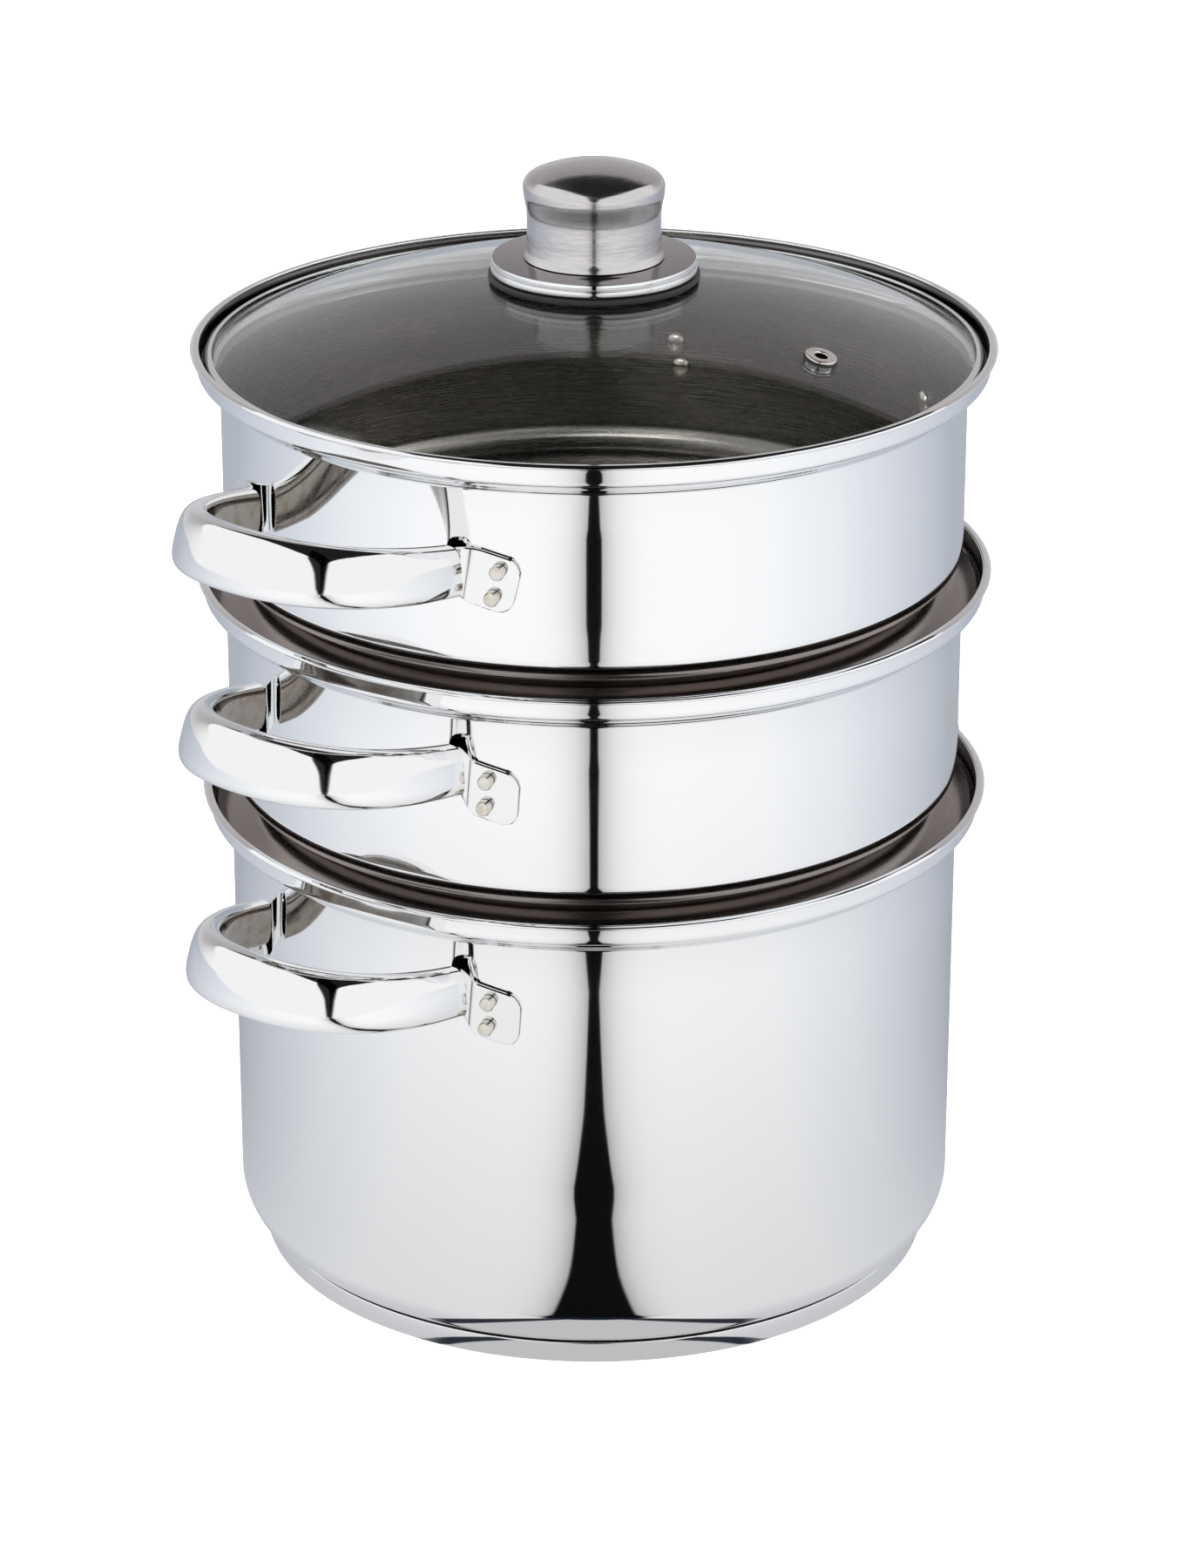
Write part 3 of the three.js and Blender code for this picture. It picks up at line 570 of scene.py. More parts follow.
def polished_steel(name, colour, roughness, scuffs=0.012):
    """Mirror polished sheet: faint polishing lines round the axis and a few cloudy wipes."""
    material, tree, shader = new_material(name)
    radius, angle, height = polar(tree)
    lines = add(tree, "ShaderNodeCombineXYZ", {0: radius, 1: angle, 2: height}).outputs[0]
    fine = add(tree, "ShaderNodeMapping", {"Vector": lines, "Scale": (900, 25, 900)}).outputs[0]
    streaks = noise(tree, fine, 3.0, 2.0)
    wipes = noise(tree, stretched(tree, (18, 18, 30)), 1.0, 4.0)
    rough = span(tree, wipes, 0.35, 0.75, roughness, roughness + scuffs)
    tint = blend(tree, span(tree, streaks, 0.3, 0.7), colour, tuple(0.993 * c for c in colour))
    tree.links.new(tint, shader.inputs["Base Color"])
    tree.links.new(rough, shader.inputs["Roughness"])
    shader.inputs["Metallic"].default_value = 1.0
    tree.links.new(bump(tree, streaks, 0.006, GRAIN_DEPTH), shader.inputs["Normal"])
    return material


def satin_steel(name, colour, roughness, drawn_out=0.0):
    """Brushed in circles: fine rings of lighter and darker metal, gloss drawn out across them."""
    material, tree, shader = new_material(name)
    radius, angle, height = polar(tree)
    lines = add(tree, "ShaderNodeCombineXYZ", {0: radius, 1: angle, 2: height}).outputs[0]
    fine = add(tree, "ShaderNodeMapping", {"Vector": lines, "Scale": (700, 12, 700)}).outputs[0]
    streaks = noise(tree, fine, 3.0, 3.0)
    broad = noise(tree, stretched(tree, (14, 14, 14)), 1.0, 3.0)
    tint = blend(tree, span(tree, streaks, 0.3, 0.7), colour, tuple(0.93 * c for c in colour))
    tree.links.new(tint, shader.inputs["Base Color"])
    rough = calc(tree, "ADD", span(tree, streaks, 0.25, 0.75, -0.05, 0.05),
                 span(tree, broad, 0.3, 0.7, roughness - 0.03, roughness + 0.03))
    tree.links.new(rough, shader.inputs["Roughness"])
    shader.inputs["Metallic"].default_value = 1.0
    tree.links.new(bump(tree, streaks, 0.02, BRUSH_DEPTH), shader.inputs["Normal"])
    shader.inputs["Anisotropic"].default_value = drawn_out
    circles = add(tree, "ShaderNodeTangent", direction_type="RADIAL", axis="Z")
    tree.links.new(circles.outputs["Tangent"], shader.inputs["Tangent"])
    return material


def heat_tint_and_painted_shade_steel(name, colour, roughness):
    """Rivet and bracket steel, faintly browned where it was worked. On the handle's inner face its
    dark colour is painted shade.
    """
    material, tree, shader = new_material(name)
    patches = noise(tree, stretched(tree, (240, 240, 240)), 1.0, 4.0)
    grain = noise(tree, stretched(tree, (2500, 2500, 2500)), 1.0, 2.0)
    brown = tuple(c * s for c, s in zip(colour, (0.86, 0.78, 0.68)))
    tint = blend(tree, span(tree, patches, 0.45, 0.7), colour, brown)
    tree.links.new(tint, shader.inputs["Base Color"])
    rough = span(tree, patches, 0.3, 0.7, roughness, roughness + 0.12)
    tree.links.new(rough, shader.inputs["Roughness"])
    shader.inputs["Metallic"].default_value = 1.0
    tree.links.new(bump(tree, grain, 0.05, GRAIN_DEPTH), shader.inputs["Normal"])
    return material


def clear_glass():
    """Clear tempered glass: faint dust and a green tone where it is seen through its edge."""
    material, tree, shader = new_material("clear_glass")
    radius, _, _ = polar(tree)
    dust = noise(tree, stretched(tree, (900, 900, 900)), 1.0, 2.0)
    edge = span(tree, radius, *((GLASS_R - depth) * MM for depth in GLASS_TINT))
    tint = blend(tree, edge, (0.95, 0.96, 0.962), (0.35, 0.5, 0.46))
    tree.links.new(tint, shader.inputs["Base Color"])
    tree.links.new(span(tree, dust, 0.7, 0.8, 0.0, 0.05), shader.inputs["Roughness"])
    shader.inputs["IOR"].default_value = 1.5
    shader.inputs["Transmission Weight"].default_value = 1.0
    return material


def black_rubber(name, roughness):
    material, tree, shader = new_material(name)
    grain = noise(tree, stretched(tree, (1500, 1500, 1500)), 1.0, 3.0)
    tint = blend(tree, grain, (0.010, 0.010, 0.011), (0.022, 0.022, 0.024))
    tree.links.new(tint, shader.inputs["Base Color"])
    tree.links.new(span(tree, grain, 0.3, 0.7, roughness - 0.06, roughness + 0.06),
                   shader.inputs["Roughness"])
    tree.links.new(bump(tree, grain, 0.1, GRAIN_DEPTH), shader.inputs["Normal"])
    return material


def plain_aluminium():
    material, tree, shader = new_material("rolled_aluminium")
    grain = noise(tree, stretched(tree, (60, 1600, 60)), 1.0, 3.0)
    tint = blend(tree, grain, (0.62, 0.62, 0.63), (0.74, 0.74, 0.75))
    tree.links.new(tint, shader.inputs["Base Color"])
    tree.links.new(span(tree, grain, 0.3, 0.7, 0.4, 0.55), shader.inputs["Roughness"])
    shader.inputs["Metallic"].default_value = 1.0
    return material


MIRROR = polished_steel("mirror_steel", (0.90, 0.905, 0.915), 0.035)
HANDLE = polished_steel("handle_mirror_steel", (0.89, 0.89, 0.895), 0.045, 0.03)
# The insides' dark colour is painted shade: the steel is darkened to stand in for the dark interior.
INSIDE_PAINTED_SHADE = satin_steel("brushed_inside_painted_shade", (0.30, 0.285, 0.26), 0.27, 0.75)
# Darker still inside the bell under the lip: painted shade.
BELL_INSIDE_PAINTED_SHADE = satin_steel("brushed_bell_inside_painted_shade", (0.20, 0.19, 0.185), 0.16, 0.4)
# The dark colour of the handles' inner faces, towards the wall, is painted shade.
HANDLE_INSIDE_PAINTED_SHADE = heat_tint_and_painted_shade_steel("handle_inner_face_painted_shade", (0.27, 0.25, 0.23), 0.08)
KNOB = satin_steel("satin_knob", (0.66, 0.64, 0.64), 0.16)
# The flange's top face is darker than its sides: painted shade.
FLANGE_TOP_PAINTED_SHADE = satin_steel("satin_flange_top_painted_shade", (0.34, 0.32, 0.33), 0.12)
EYELET = heat_tint_and_painted_shade_steel("eyelet_steel", (0.92, 0.91, 0.89), 0.06)
# The seat rings' dark colour, in the gap between the tiers, is painted shade.
RING_PAINTED_SHADE = satin_steel("satin_ring_painted_shade", (0.32, 0.285, 0.265), 0.2, 0.4)
RIVET = heat_tint_and_painted_shade_steel("rivet_steel_worked", (0.72, 0.70, 0.66), 0.2)
BRACKET = polished_steel("bracket_steel", (0.86, 0.86, 0.86), 0.06, 0.03)
GLASS = clear_glass()
SEAL = black_rubber("seal_rubber", 0.45)
PLUG = black_rubber("plug_plastic", 0.5)
ALUMINIUM = plain_aluminium()


# Vessels

def shoulder(wall_r, bell_r, lip, steps=14):
    """The S-shaped shoulder between the wall and the bell, walked upwards."""
    out = []
    for k in range(steps + 1):
        share = k / steps
        swell = (1 - math.cos(math.pi * share)) / 2
        out.append((wall_r + (bell_r - wall_r) * swell,
                    lip - SHOULDER_DEPTH + SHOULDER_H * share))
    return out


def vessel_outline(lip, floor, corner_r, levels):
    centre = (BODY_R - corner_r, floor + corner_r)
    outside = arc(centre, corner_r, -90, 0, CORNER_STEPS)
    inside = arc(centre, corner_r - SHEET, 0, -90, CORNER_STEPS)
    under, tip, edge, slope, crest, fall = LIP_ROUNDS
    rim = rounded([
        (BELL_R, lip - BELL_DEPTH + BELL_RUN),
        (BELL_R, lip - LIP_UNDER, under),
        (LIP_R - LIP_EDGE, lip - LIP_UNDER, tip),
        (LIP_R, lip, edge),
        (LIP_R - LIP_EDGE, lip + LIP_EDGE_RISE_SHARE * LIP_RISE, slope),
        (LIP_R - LIP_SLOPE, lip + LIP_RISE, crest),
        (BELL_INNER_R + LIP_FALL, lip + LIP_RISE, fall),
        (BELL_INNER_R, lip - LIP_UNDER),
    ])
    wall = [(BODY_R, z) for z in levels]
    inner_wall = [(BODY_INNER_R, z) for z in reversed(levels)]
    outside_floor = [(0, floor), (centre[0] / 2, floor)]
    inside_floor = [(centre[0] / 2, floor + SHEET), (0, floor + SHEET)]
    outline = outside_floor + outside + wall + shoulder(BODY_R, BELL_R, lip) + rim
    outline += list(reversed(shoulder(BODY_INNER_R, BELL_INNER_R, lip))) + inner_wall
    return outline + inside + inside_floor


def rivet_angle(tier):
    """Degrees from the handles' axis to the middle between the two rivets of a bracket."""
    return math.degrees(math.asin((HANDLE_HALF_SPAN + TIERS[tier]["rivet_offset"]) / BODY_R))


def rivet_pair(tier):
    """(level, degrees, height) of the rivets at the +Y end of a handle on +X, from the tab."""
    tilt = math.radians(TIERS[tier]["tab_tilt"])
    out = []
    for level, step in (("upper", RIVET_PITCH / 2), ("lower", -RIVET_PITCH / 2)):
        out.append((level, rivet_angle(tier) + math.degrees(step * math.sin(tilt) / BODY_R),
                    step * math.cos(tilt)))
    return out


def rivet_places(tier):
    """(name, angle in degrees, height) of each rivet of a tier."""
    spec = TIERS[tier]
    out = []
    for side, axis in (("left", 180), ("right", 0)):
        for end, sign in handle_ends(side):
            for level, angle, height in rivet_pair(tier):
                out.append((f"{tier}_{side}_{end}_{level}_rivet", axis + sign * angle,
                            spec["lip"] - spec["tab_drop"] + height))
    return out


def handle_ends(side):
    return (("front", 1), ("rear", -1)) if side == "left" else (("front", -1), ("rear", 1))


def radial(angle, height):
    """A place matrix that turns +Z outwards at an angle and a height."""
    turn = Matrix.Rotation(math.radians(angle), 4, "Z") @ Matrix.Rotation(math.pi / 2, 4, "Y")
    return Matrix.Translation((0, 0, height)) @ turn


def make_vessel(tier, node, floor, corner_r, perforated):
    spec = TIERS[tier]
    tab = spec["lip"] - spec["tab_drop"]
    levels = [tab + step for step in TAB_LEVELS]
    outline = vessel_outline(spec["lip"], floor, corner_r, levels)
    shell = lathe(node + "_sheet", outline)
    holes = [(RIVET_SHANK_R + CLEARANCE, BODY_INNER_R - CUT_MARGIN, BODY_R + CUT_MARGIN,
              radial(angle, height)) for _, angle, height in rivet_places(tier)]
    if perforated:
        for ring in range(HOLE_RINGS + 1):
            count = max(1, ring * HOLES_PER_RING)
            for k in range(count):
                a = 2 * math.pi * k / count
                place = Matrix.Translation((ring * HOLE_PITCH * math.cos(a),
                                            ring * HOLE_PITCH * math.sin(a), floor))
                holes.append((HOLE_R, -CUT_MARGIN, SHEET + CUT_MARGIN, place))
    shell = drilled(shell, holes, PIN_SEGMENTS)
    stands_for(shell, node, MIRROR, INSIDE_PAINTED_SHADE, BELL_INSIDE_PAINTED_SHADE)
    inside_limit = (BELL_INNER_R + LIP_FALL / 2) * MM
    for polygon in shell.data.polygons:
        centre = polygon.center
        facing_axis = polygon.normal.x * centre.x + polygon.normal.y * centre.y < 0
        on_top = polygon.normal.z > 0.5 and centre.z < (floor + corner_r) * MM
        rim = centre.z > (spec["lip"] + LIP_RISE / 2) * MM
        inside = math.hypot(centre.x, centre.y) < inside_limit and not rim
        flared = centre.z > (spec["lip"] - SHOULDER_DEPTH) * MM
        # Inner faces take the darkened inside colours, which are painted shade.
        if inside and (facing_axis or on_top):
            polygon.material_index = 2 if flared else 1
        else:
            polygon.material_index = 0


def make_base():
    inner = BASE_R - BASE_SHEET
    rim, rim_inner = BASE_RIM_ROUNDS
    outline = rounded([
        (0, 0), (BASE_R, 0, BASE_FOOT_ROUND), (BASE_R, BASE_TOP, rim),
        (inner, BASE_TOP, rim_inner), (inner, BASE_SHEET, BASE_INNER_ROUND), (0, BASE_SHEET),
    ], 6)
    stands_for(lathe("base_cap_cup", outline), "base_cap", MIRROR)


def make_seat_ring(tier):
    lip = TIERS[tier]["lip"]
    top = lip - BASKET_FLOOR_DEPTH - CLEARANCE
    foot = lip - TIER_PITCH - SEAT_DROP
    waist = BODY_R - BASKET_CORNER_R - CLEARANCE
    bend_under, land, edge, face, bend = SEAT_ROUNDS
    outline = rounded([
        (waist - SEAT_FLANGE, top - SHEET), (waist, top - SHEET, bend_under),
        (SEAT_R - SHEET, foot + SEAT_LAND, land), (SEAT_R - SHEET, foot), (SEAT_R, foot, edge),
        (SEAT_R, foot + SEAT_FACE, face), (waist, top, bend), (waist - SEAT_FLANGE, top),
    ])
    node = f"{tier}_seat_ring"
    # The ring takes the dark seat ring colour, which is painted shade.
    stands_for(lathe(node + "_flared", outline, loop=True), node, RING_PAINTED_SHADE)


# Handles

START_X = math.sqrt(BODY_R ** 2 - HANDLE_HALF_SPAN ** 2) + HANDLE_GAP
GRIP_X = BODY_R + HANDLE_REACH


def handle_curve(t):
    """Point and direction in plan, from the wall (0) to the middle of the grip (1)."""
    reach = GRIP_X - START_X
    p = [Vector((START_X, HANDLE_HALF_SPAN)),
         Vector((START_X + LEG_SHARE * reach, HANDLE_HALF_SPAN)),
         Vector((GRIP_X, BOW_SHARE * HANDLE_HALF_SPAN)), Vector((GRIP_X, 0.0))]
    s = 1 - t
    point = p[0] * s ** 3 + p[1] * 3 * s * s * t + p[2] * 3 * s * t * t + p[3] * t ** 3
    way = (p[1] - p[0]) * s * s + (p[2] - p[1]) * 2 * s * t + (p[3] - p[2]) * t * t
    return point, way.normalized()


def tube_ring(share, inset):
    """A ring of points round the tube: share 0 at the +Y end, 1 at the -Y end."""
    along = 2 * share if share <= 0.5 else 2 - 2 * share
    flip = 1 if share <= 0.5 else -1
    point, way = handle_curve(along)
    reach = (point.x - START_X) / (GRIP_X - START_X)
    outward = Vector((-way.y, way.x * flip, 0))
    half_t, half_h = ((a + (b - a) * reach) / 2 - inset for a, b in zip(END_SIZE, GRIP_SIZE))
    lean = math.tan(math.radians(END_LEAN + (GRIP_LEAN - END_LEAN) * reach))
    ring = []
    for k in range(SMALL_SEGMENTS):
        a = 2 * math.pi * k / SMALL_SEGMENTS
        c, s = math.cos(a), math.sin(a)
        across = math.copysign(abs(c) ** (2 / TUBE_POWER), c)
        up = math.copysign(abs(s) ** (2 / TUBE_POWER), s)
        spot = Vector((point.x, point.y * flip, HANDLE_RISE * reach))
        spot += outward * (across * half_t - lean * up * half_h)
        spot.z += up * half_h
        ring.append(spot)
    return ring


def make_handle(tier, side):
    spec = TIERS[tier]
    shares = [k / TUBE_STEPS for k in range(TUBE_STEPS + 1)]
    rings = [tube_ring(s, 0) for s in shares]
    rings += [tube_ring(s, TUBE_WALL) for s in reversed(shares)]
    node = f"{tier}_{side}_handle"
    tube = skin(node + "_tube", rings, loop=True)
    turn = Matrix.Rotation(math.pi if side == "left" else 0, 4, "Z")
    tube.data.transform(Matrix.Translation((0, 0, (spec["lip"] - spec["handle_drop"]) * MM)) @ turn)
    stands_for(tube, node, HANDLE, HANDLE_INSIDE_PAINTED_SHADE)
    ring = len(rings[0])
    for polygon in tube.data.polygons:
        around = min(polygon.vertices[k] % ring for k in range(2))
        # Faces on the tube's inner side, towards the wall, take the darker colour: painted shade.
        behind = abs(around - ring / 2) < ring * INNER_FACE_SHARE
        polygon.material_index = 1 if behind else 0


# Brackets

def bracket_path(tier):
    """Stations of the bracket at the +Y end of a handle on +X.

    Each is a plan point, the plate's half height, its middle's height and its upright's slant.
    """
    spec = TIERS[tier]
    radius = BODY_R + CLEARANCE + BRACKET_SHEET / 2
    middle = spec["handle_drop"] - spec["tab_drop"]
    tilt = math.radians(spec["tab_tilt"])
    slope = math.tan(math.radians(spec["tab_slope"]))

    def on_wall(reach):
        a = math.radians(rivet_angle(tier)) + reach / radius
        return Vector((radius * math.cos(a), radius * math.sin(a)))

    def slant(reach):
        a = math.radians(rivet_angle(tier)) + reach / radius
        return Vector((-math.sin(a), math.cos(a))) * math.tan(tilt)

    path = []
    for k in range(BEND_STEPS + 1):
        share = 1 - math.cos(math.pi / 2 * k / BEND_STEPS)
        dip = TAB_CORNER_R * (1 - math.sqrt(max(0.0, 1 - (1 - share) ** 2)))
        reach = spec["tab_outer"] - share * TAB_CORNER_R
        path.append((on_wall(reach), TAB_H / 2 - dip, middle - reach * slope, slant(reach)))
    outer = spec["tab_outer"] - TAB_CORNER_R
    for k in range(1, RUN_STEPS + 1):
        reach = outer - (outer + spec["tab_inner"]) * k / RUN_STEPS
        path.append((on_wall(reach), TAB_H / 2, middle - reach * slope, slant(reach)))
    reach = GRIP_X - START_X
    tongue = []
    for share in TONGUE_SHARES:
        point, way = handle_curve(share * TONGUE / (3 * LEG_SHARE * reach))
        point = point + Vector((-way.y, way.x)) * TONGUE_OFFSET
        tongue.append((point, TONGUE_HALF, HANDLE_RISE * (point.x - START_X) / reach,
                       Vector((0, 0))))
    _, way = handle_curve(0)
    brim = tongue[0][0] - way * NECK_GAP
    a, b = path[-1], (brim, NECK_HALF, 0.0, Vector((0, 0)))
    back = (path[-1][0] - path[-2][0]).normalized()
    length = (b[0] - a[0]).length
    pull = length * NECK_PULL_SHARE
    for k in range(1, BEND_STEPS + 1):
        t = k / BEND_STEPS
        s = 1 - t
        place = a[0] * s ** 3 + (a[0] + back * pull) * 3 * s * s * t
        place += (b[0] - way * pull) * 3 * s * t * t + b[0] * t ** 3
        ease = t * t * (3 - 2 * t)
        bend = s * s * t * slope - t * t * s * HANDLE_RISE / reach
        path.append((place, a[1] + (b[1] - a[1]) * ease,
                     a[2] + (b[2] - a[2]) * ease + bend * length, a[3] * (1 - ease)))
    path.append((brim + way * NECK_STEP, TONGUE_HALF, 0.0, Vector((0, 0))))
    return path + tongue[1:]


def make_brackets(tier):
    spec = TIERS[tier]
    path = bracket_path(tier)
    half = BRACKET_SHEET / 2
    edge = BRACKET_EDGE
    section = [(half, 1, -edge), (half, -1, edge), (half - edge, -1, 0), (edge - half, -1, 0),
               (-half, -1, edge), (-half, 1, -edge), (edge - half, 1, 0), (half - edge, 1, 0)]
    rings = []
    for i, (place, tall, height, slant) in enumerate(path):
        before = path[max(0, i - 1)][0]
        after = path[min(len(path) - 1, i + 1)][0]
        way = (after - before).normalized()
        side = Vector((-way.y, way.x))
        ring = []
        for across, up, trim in section:
            spot = place + side * across + slant * (up * tall)
            ring.append(Vector((spot.x, spot.y, height + up * tall + trim)))
        rings.append(ring)
    middle = spec["handle_drop"] - spec["tab_drop"]
    holes = [(RIVET_SHANK_R + CLEARANCE, BODY_R - CUT_MARGIN, BODY_R + BRACKET_SHEET + CUT_MARGIN,
              radial(angle, middle + height)) for _, angle, height in rivet_pair(tier)]
    plate = drilled(skin(f"{tier}_plate", rings), holes)
    lift = Matrix.Translation((0, 0, (spec["lip"] - spec["handle_drop"]) * MM))
    for side, turn in (("left", math.pi), ("right", 0.0)):
        for end, sign in handle_ends(side):
            node = f"{tier}_{side}_{end}_bracket"
            mesh = plate.data.copy()
            if sign < 0:
                mesh.transform(Matrix.Scale(-1, 4, (0, 1, 0)))
                mesh.flip_normals()
            mesh.transform(lift @ Matrix.Rotation(turn, 4, "Z"))
            piece = facing_out(link(node + "_plate", mesh))
            stands_for(piece, node, BRACKET)
    bpy.data.objects.remove(plate)


def make_rivets(tier):
    outer = BODY_R + BRACKET_SHEET + 2 * CLEARANCE
    inner = BODY_INNER_R - CLEARANCE
    outline = [(0, inner - RIVET_INNER_H)]
    turns = [math.pi / 2 * k / BEND_STEPS for k in range(1, BEND_STEPS + 1)]
    outline += [(RIVET_INNER_R * math.sin(a), inner - RIVET_INNER_H * math.cos(a)) for a in turns]
    face = outer + RIVET_HEAD_H
    head, eye = RIVET_ROUNDS
    outline += rounded([(RIVET_SHANK_R, inner), (RIVET_SHANK_R, outer), (RIVET_HEAD_R, outer),
                        (RIVET_HEAD_R, face - RIVET_EYE_RISE, head), (RIVET_EYE_R, face, eye),
                        (0, face)])
    pin = lathe(f"{tier}_pin", outline, PIN_SEGMENTS, sharp_angle=ROUND_SHARP_ANGLE)
    for node, angle, height in rivet_places(tier):
        mesh = pin.data.copy()
        place = radial(angle, height)
        place.translation *= MM
        mesh.transform(place)
        piece = link(node + "_pin", mesh, ROUND_SHARP_ANGLE)
        stands_for(piece, node, RIVET)
    bpy.data.objects.remove(pin)


# Lid

def dome(radius):
    """Height of the top of the glass above the lip line."""
    return GLASS_EDGE_TOP + GLASS_RISE - (DOME_R - math.sqrt(DOME_R ** 2 - radius ** 2))


VENT_R = GLASS_R - VENT_INSET
VENT_PLACE = (Matrix.Rotation(math.radians(VENT_TURN), 4, "Z")
              @ Matrix.Translation((VENT_R, 0, TOP_LIP + dome(VENT_R)))
              @ Matrix.Rotation(math.asin(VENT_R / DOME_R), 4, "Y"))
SEAT_DISC_TOP = TOP_LIP + dome(SEAT_DISC_R) + CLEARANCE + SEAT_DISC_T
FLANGE_BOTTOM = SEAT_DISC_TOP + CLEARANCE
KNOB_FOOT = FLANGE_BOTTOM + FLANGE_T + CLEARANCE


def make_glass():
    width = GLASS_R - KNOB_HOLE_R
    radii = [KNOB_HOLE_R + width * k / GLASS_STEPS for k in range(GLASS_STEPS + 1)]
    under = [(r, TOP_LIP + dome(r) - GLASS_T) for r in radii]
    over = [(r, TOP_LIP + dome(r)) for r in reversed(radii)]
    under[-1] = (*under[-1], GLASS_EDGE_ROUND)
    over[0] = (*over[0], GLASS_EDGE_ROUND)
    pane = lathe("lid_glass_pane", rounded(under + over), loop=True, sharp_angle=ROUND_SHARP_ANGLE)
    pane = drilled(pane, [(VENT_HOLE_R, *VENT_CUT, VENT_PLACE)], SMALL_SEGMENTS)
    stands_for(pane, "lid_glass", GLASS)


def make_lid_ring():
    foot = TOP_LIP - SEAT_DROP
    under = TOP_LIP + GLASS_EDGE_TOP + CLEARANCE + BAND_RISE + BAND_UNDER
    over = under + BAND_LIP_T
    inner = SEAT_R - BAND_SHEET
    corners = [
        (SEAT_R - BAND_FOOT, foot - BAND_FOOT_DROP), (SEAT_R, foot), (SEAT_R, under),
        (SEAT_R - BAND_LIP_EDGE, over), (SEAT_R - BAND_LIP, over), (SEAT_R - BAND_LIP, under),
        (inner, under), (inner, foot + BAND_SEAT),
        (SEAT_R - BAND_FOOT, foot - BAND_FOOT_DROP + BAND_FOOT_T),
    ]
    outline = rounded([(*spot, turn) for spot, turn in zip(corners, BAND_ROUNDS)], loop=True)
    stands_for(lathe("lid_ring_band", outline, loop=True), "lid_ring", MIRROR)


def make_knob_seat():
    low, high = SEAT_DISC_ROUNDS
    under = [(r, TOP_LIP + dome(r) + CLEARANCE) for r in SEAT_DISC_RADII]
    under[-1] = (*under[-1], low)
    outline = rounded(under + [(SEAT_DISC_R, SEAT_DISC_TOP, high), (KNOB_HOLE_R, SEAT_DISC_TOP)])
    stands_for(lathe("knob_seat_disc", outline, DISC_SEGMENTS, loop=True), "knob_seat", SEAL)


def make_flange():
    bottom = FLANGE_BOTTOM
    rim = bottom + FLANGE_T
    groove = bottom + FLANGE_GROOVE
    upper = FLANGE_R - FLANGE_STEP
    foot, low, deep, high, top = FLANGE_ROUNDS
    outline = rounded([
        (KNOB_HOLE_R, bottom), (FLANGE_R, bottom, foot), (FLANGE_R, groove - GROOVE_HALF, low),
        (FLANGE_R - GROOVE_DEPTH, groove, deep), (upper, groove + GROOVE_HALF, high),
        (upper, rim, top), (KNOB_HOLE_R, rim),
    ])
    disc = lathe("knob_flange_disc", outline, DISC_SEGMENTS, loop=True)
    stands_for(disc, "knob_flange", MIRROR, FLANGE_TOP_PAINTED_SHADE)
    # Faces that look up take the darker top colour, which is painted shade.
    for polygon in disc.data.polygons:
        polygon.material_index = 1 if polygon.normal.z > 0.9 else 0


def smooth_through(points, steps=6):
    """A smooth curve through the points (Catmull-Rom)."""
    points = [Vector(p) for p in points]
    ends = [points[0] * 2 - points[1]] + points + [points[-1] * 2 - points[-2]]
    out = []
    for a, b, c, d in zip(ends, ends[1:], ends[2:], ends[3:]):
        for k in range(steps):
            t = k / steps
            out.append(tuple(0.5 * ((b * 2) + (c - a) * t + (a * 2 - b * 5 + c * 4 - d) * t * t
                                    + (b * 3 - a - c * 3 + d) * t ** 3)))
    return out + [tuple(points[-1])]


def make_knob():
    foot = KNOB_FOOT
    top = foot + KNOB_H
    low = top - KNOB_CROWN - KNOB_EDGE_R * math.sin(math.radians(KNOB_EDGE_TURN))
    flare = KNOB_FOOT_R - KNOB_NECK_R
    belly = KNOB_R - KNOB_NECK_R
    side = [(KNOB_NECK_R + flare * share, foot + height) for height, share in KNOB_FLARE_SHARES]
    side += [(KNOB_NECK_R + belly * share, low - drop) for drop, share in KNOB_BELLY_SHARES]
    side = smooth_through(side)
    edge = arc((KNOB_R - KNOB_EDGE_R, low), KNOB_EDGE_R, 0, KNOB_EDGE_TURN, CORNER_STEPS)[1:]
    start = Vector(edge[-1])
    crown = []
    for k in range(1, CORNER_STEPS + 1):
        t = k / CORNER_STEPS
        r = start.x * (1 - t)
        crown.append((r, top - (top - start.y) * (r / start.x) ** KNOB_CROWN_POWER))
    outer = side + edge + crown
    inner = [(max(0.0, r - KNOB_WALL), z - (KNOB_WALL if r < KNOB_ROOF_R else 0))
             for r, z in reversed(outer)]
    inner[0] = (0, top - KNOB_WALL)
    stands_for(lathe("lid_knob_shell", inner + outer, DISC_SEGMENTS), "lid_knob", KNOB)


def make_spool(node, sizes, material):
    """A piece of the vent: a short tube through the glass with a lip over and under it."""
    bore, wall, lip, gap, thick = sizes
    foot, low, under, over, high, mouth = SPOOL_ROUNDS
    bottom = -GLASS_T - gap
    shank = bore + wall
    brim = shank + lip
    outline = rounded([
        (bore, bottom - thick, foot), (brim, bottom - thick, low), (brim, bottom, under),
        (shank, bottom), (shank, gap), (brim, gap, over), (brim, gap + thick, high),
        (bore, gap + thick, mouth),
    ], loop=True)
    piece = lathe(node + "_spool", outline, SMALL_SEGMENTS, loop=True)
    place = VENT_PLACE.copy()
    place.translation *= MM
    piece.data.transform(place)
    stands_for(piece, node, material)


def make_fastener():
    low, high = (corner.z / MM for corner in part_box("lid_washer"))
    outline = rounded([(WASHER_HOLE_R, low), (WASHER_R, low, WASHER_ROUND),
                       (WASHER_R, high, WASHER_ROUND), (WASHER_HOLE_R, high)], loop=True)
    stands_for(lathe("lid_washer_disc", outline, SMALL_SEGMENTS, loop=True), "lid_washer", RIVET)


# Stage

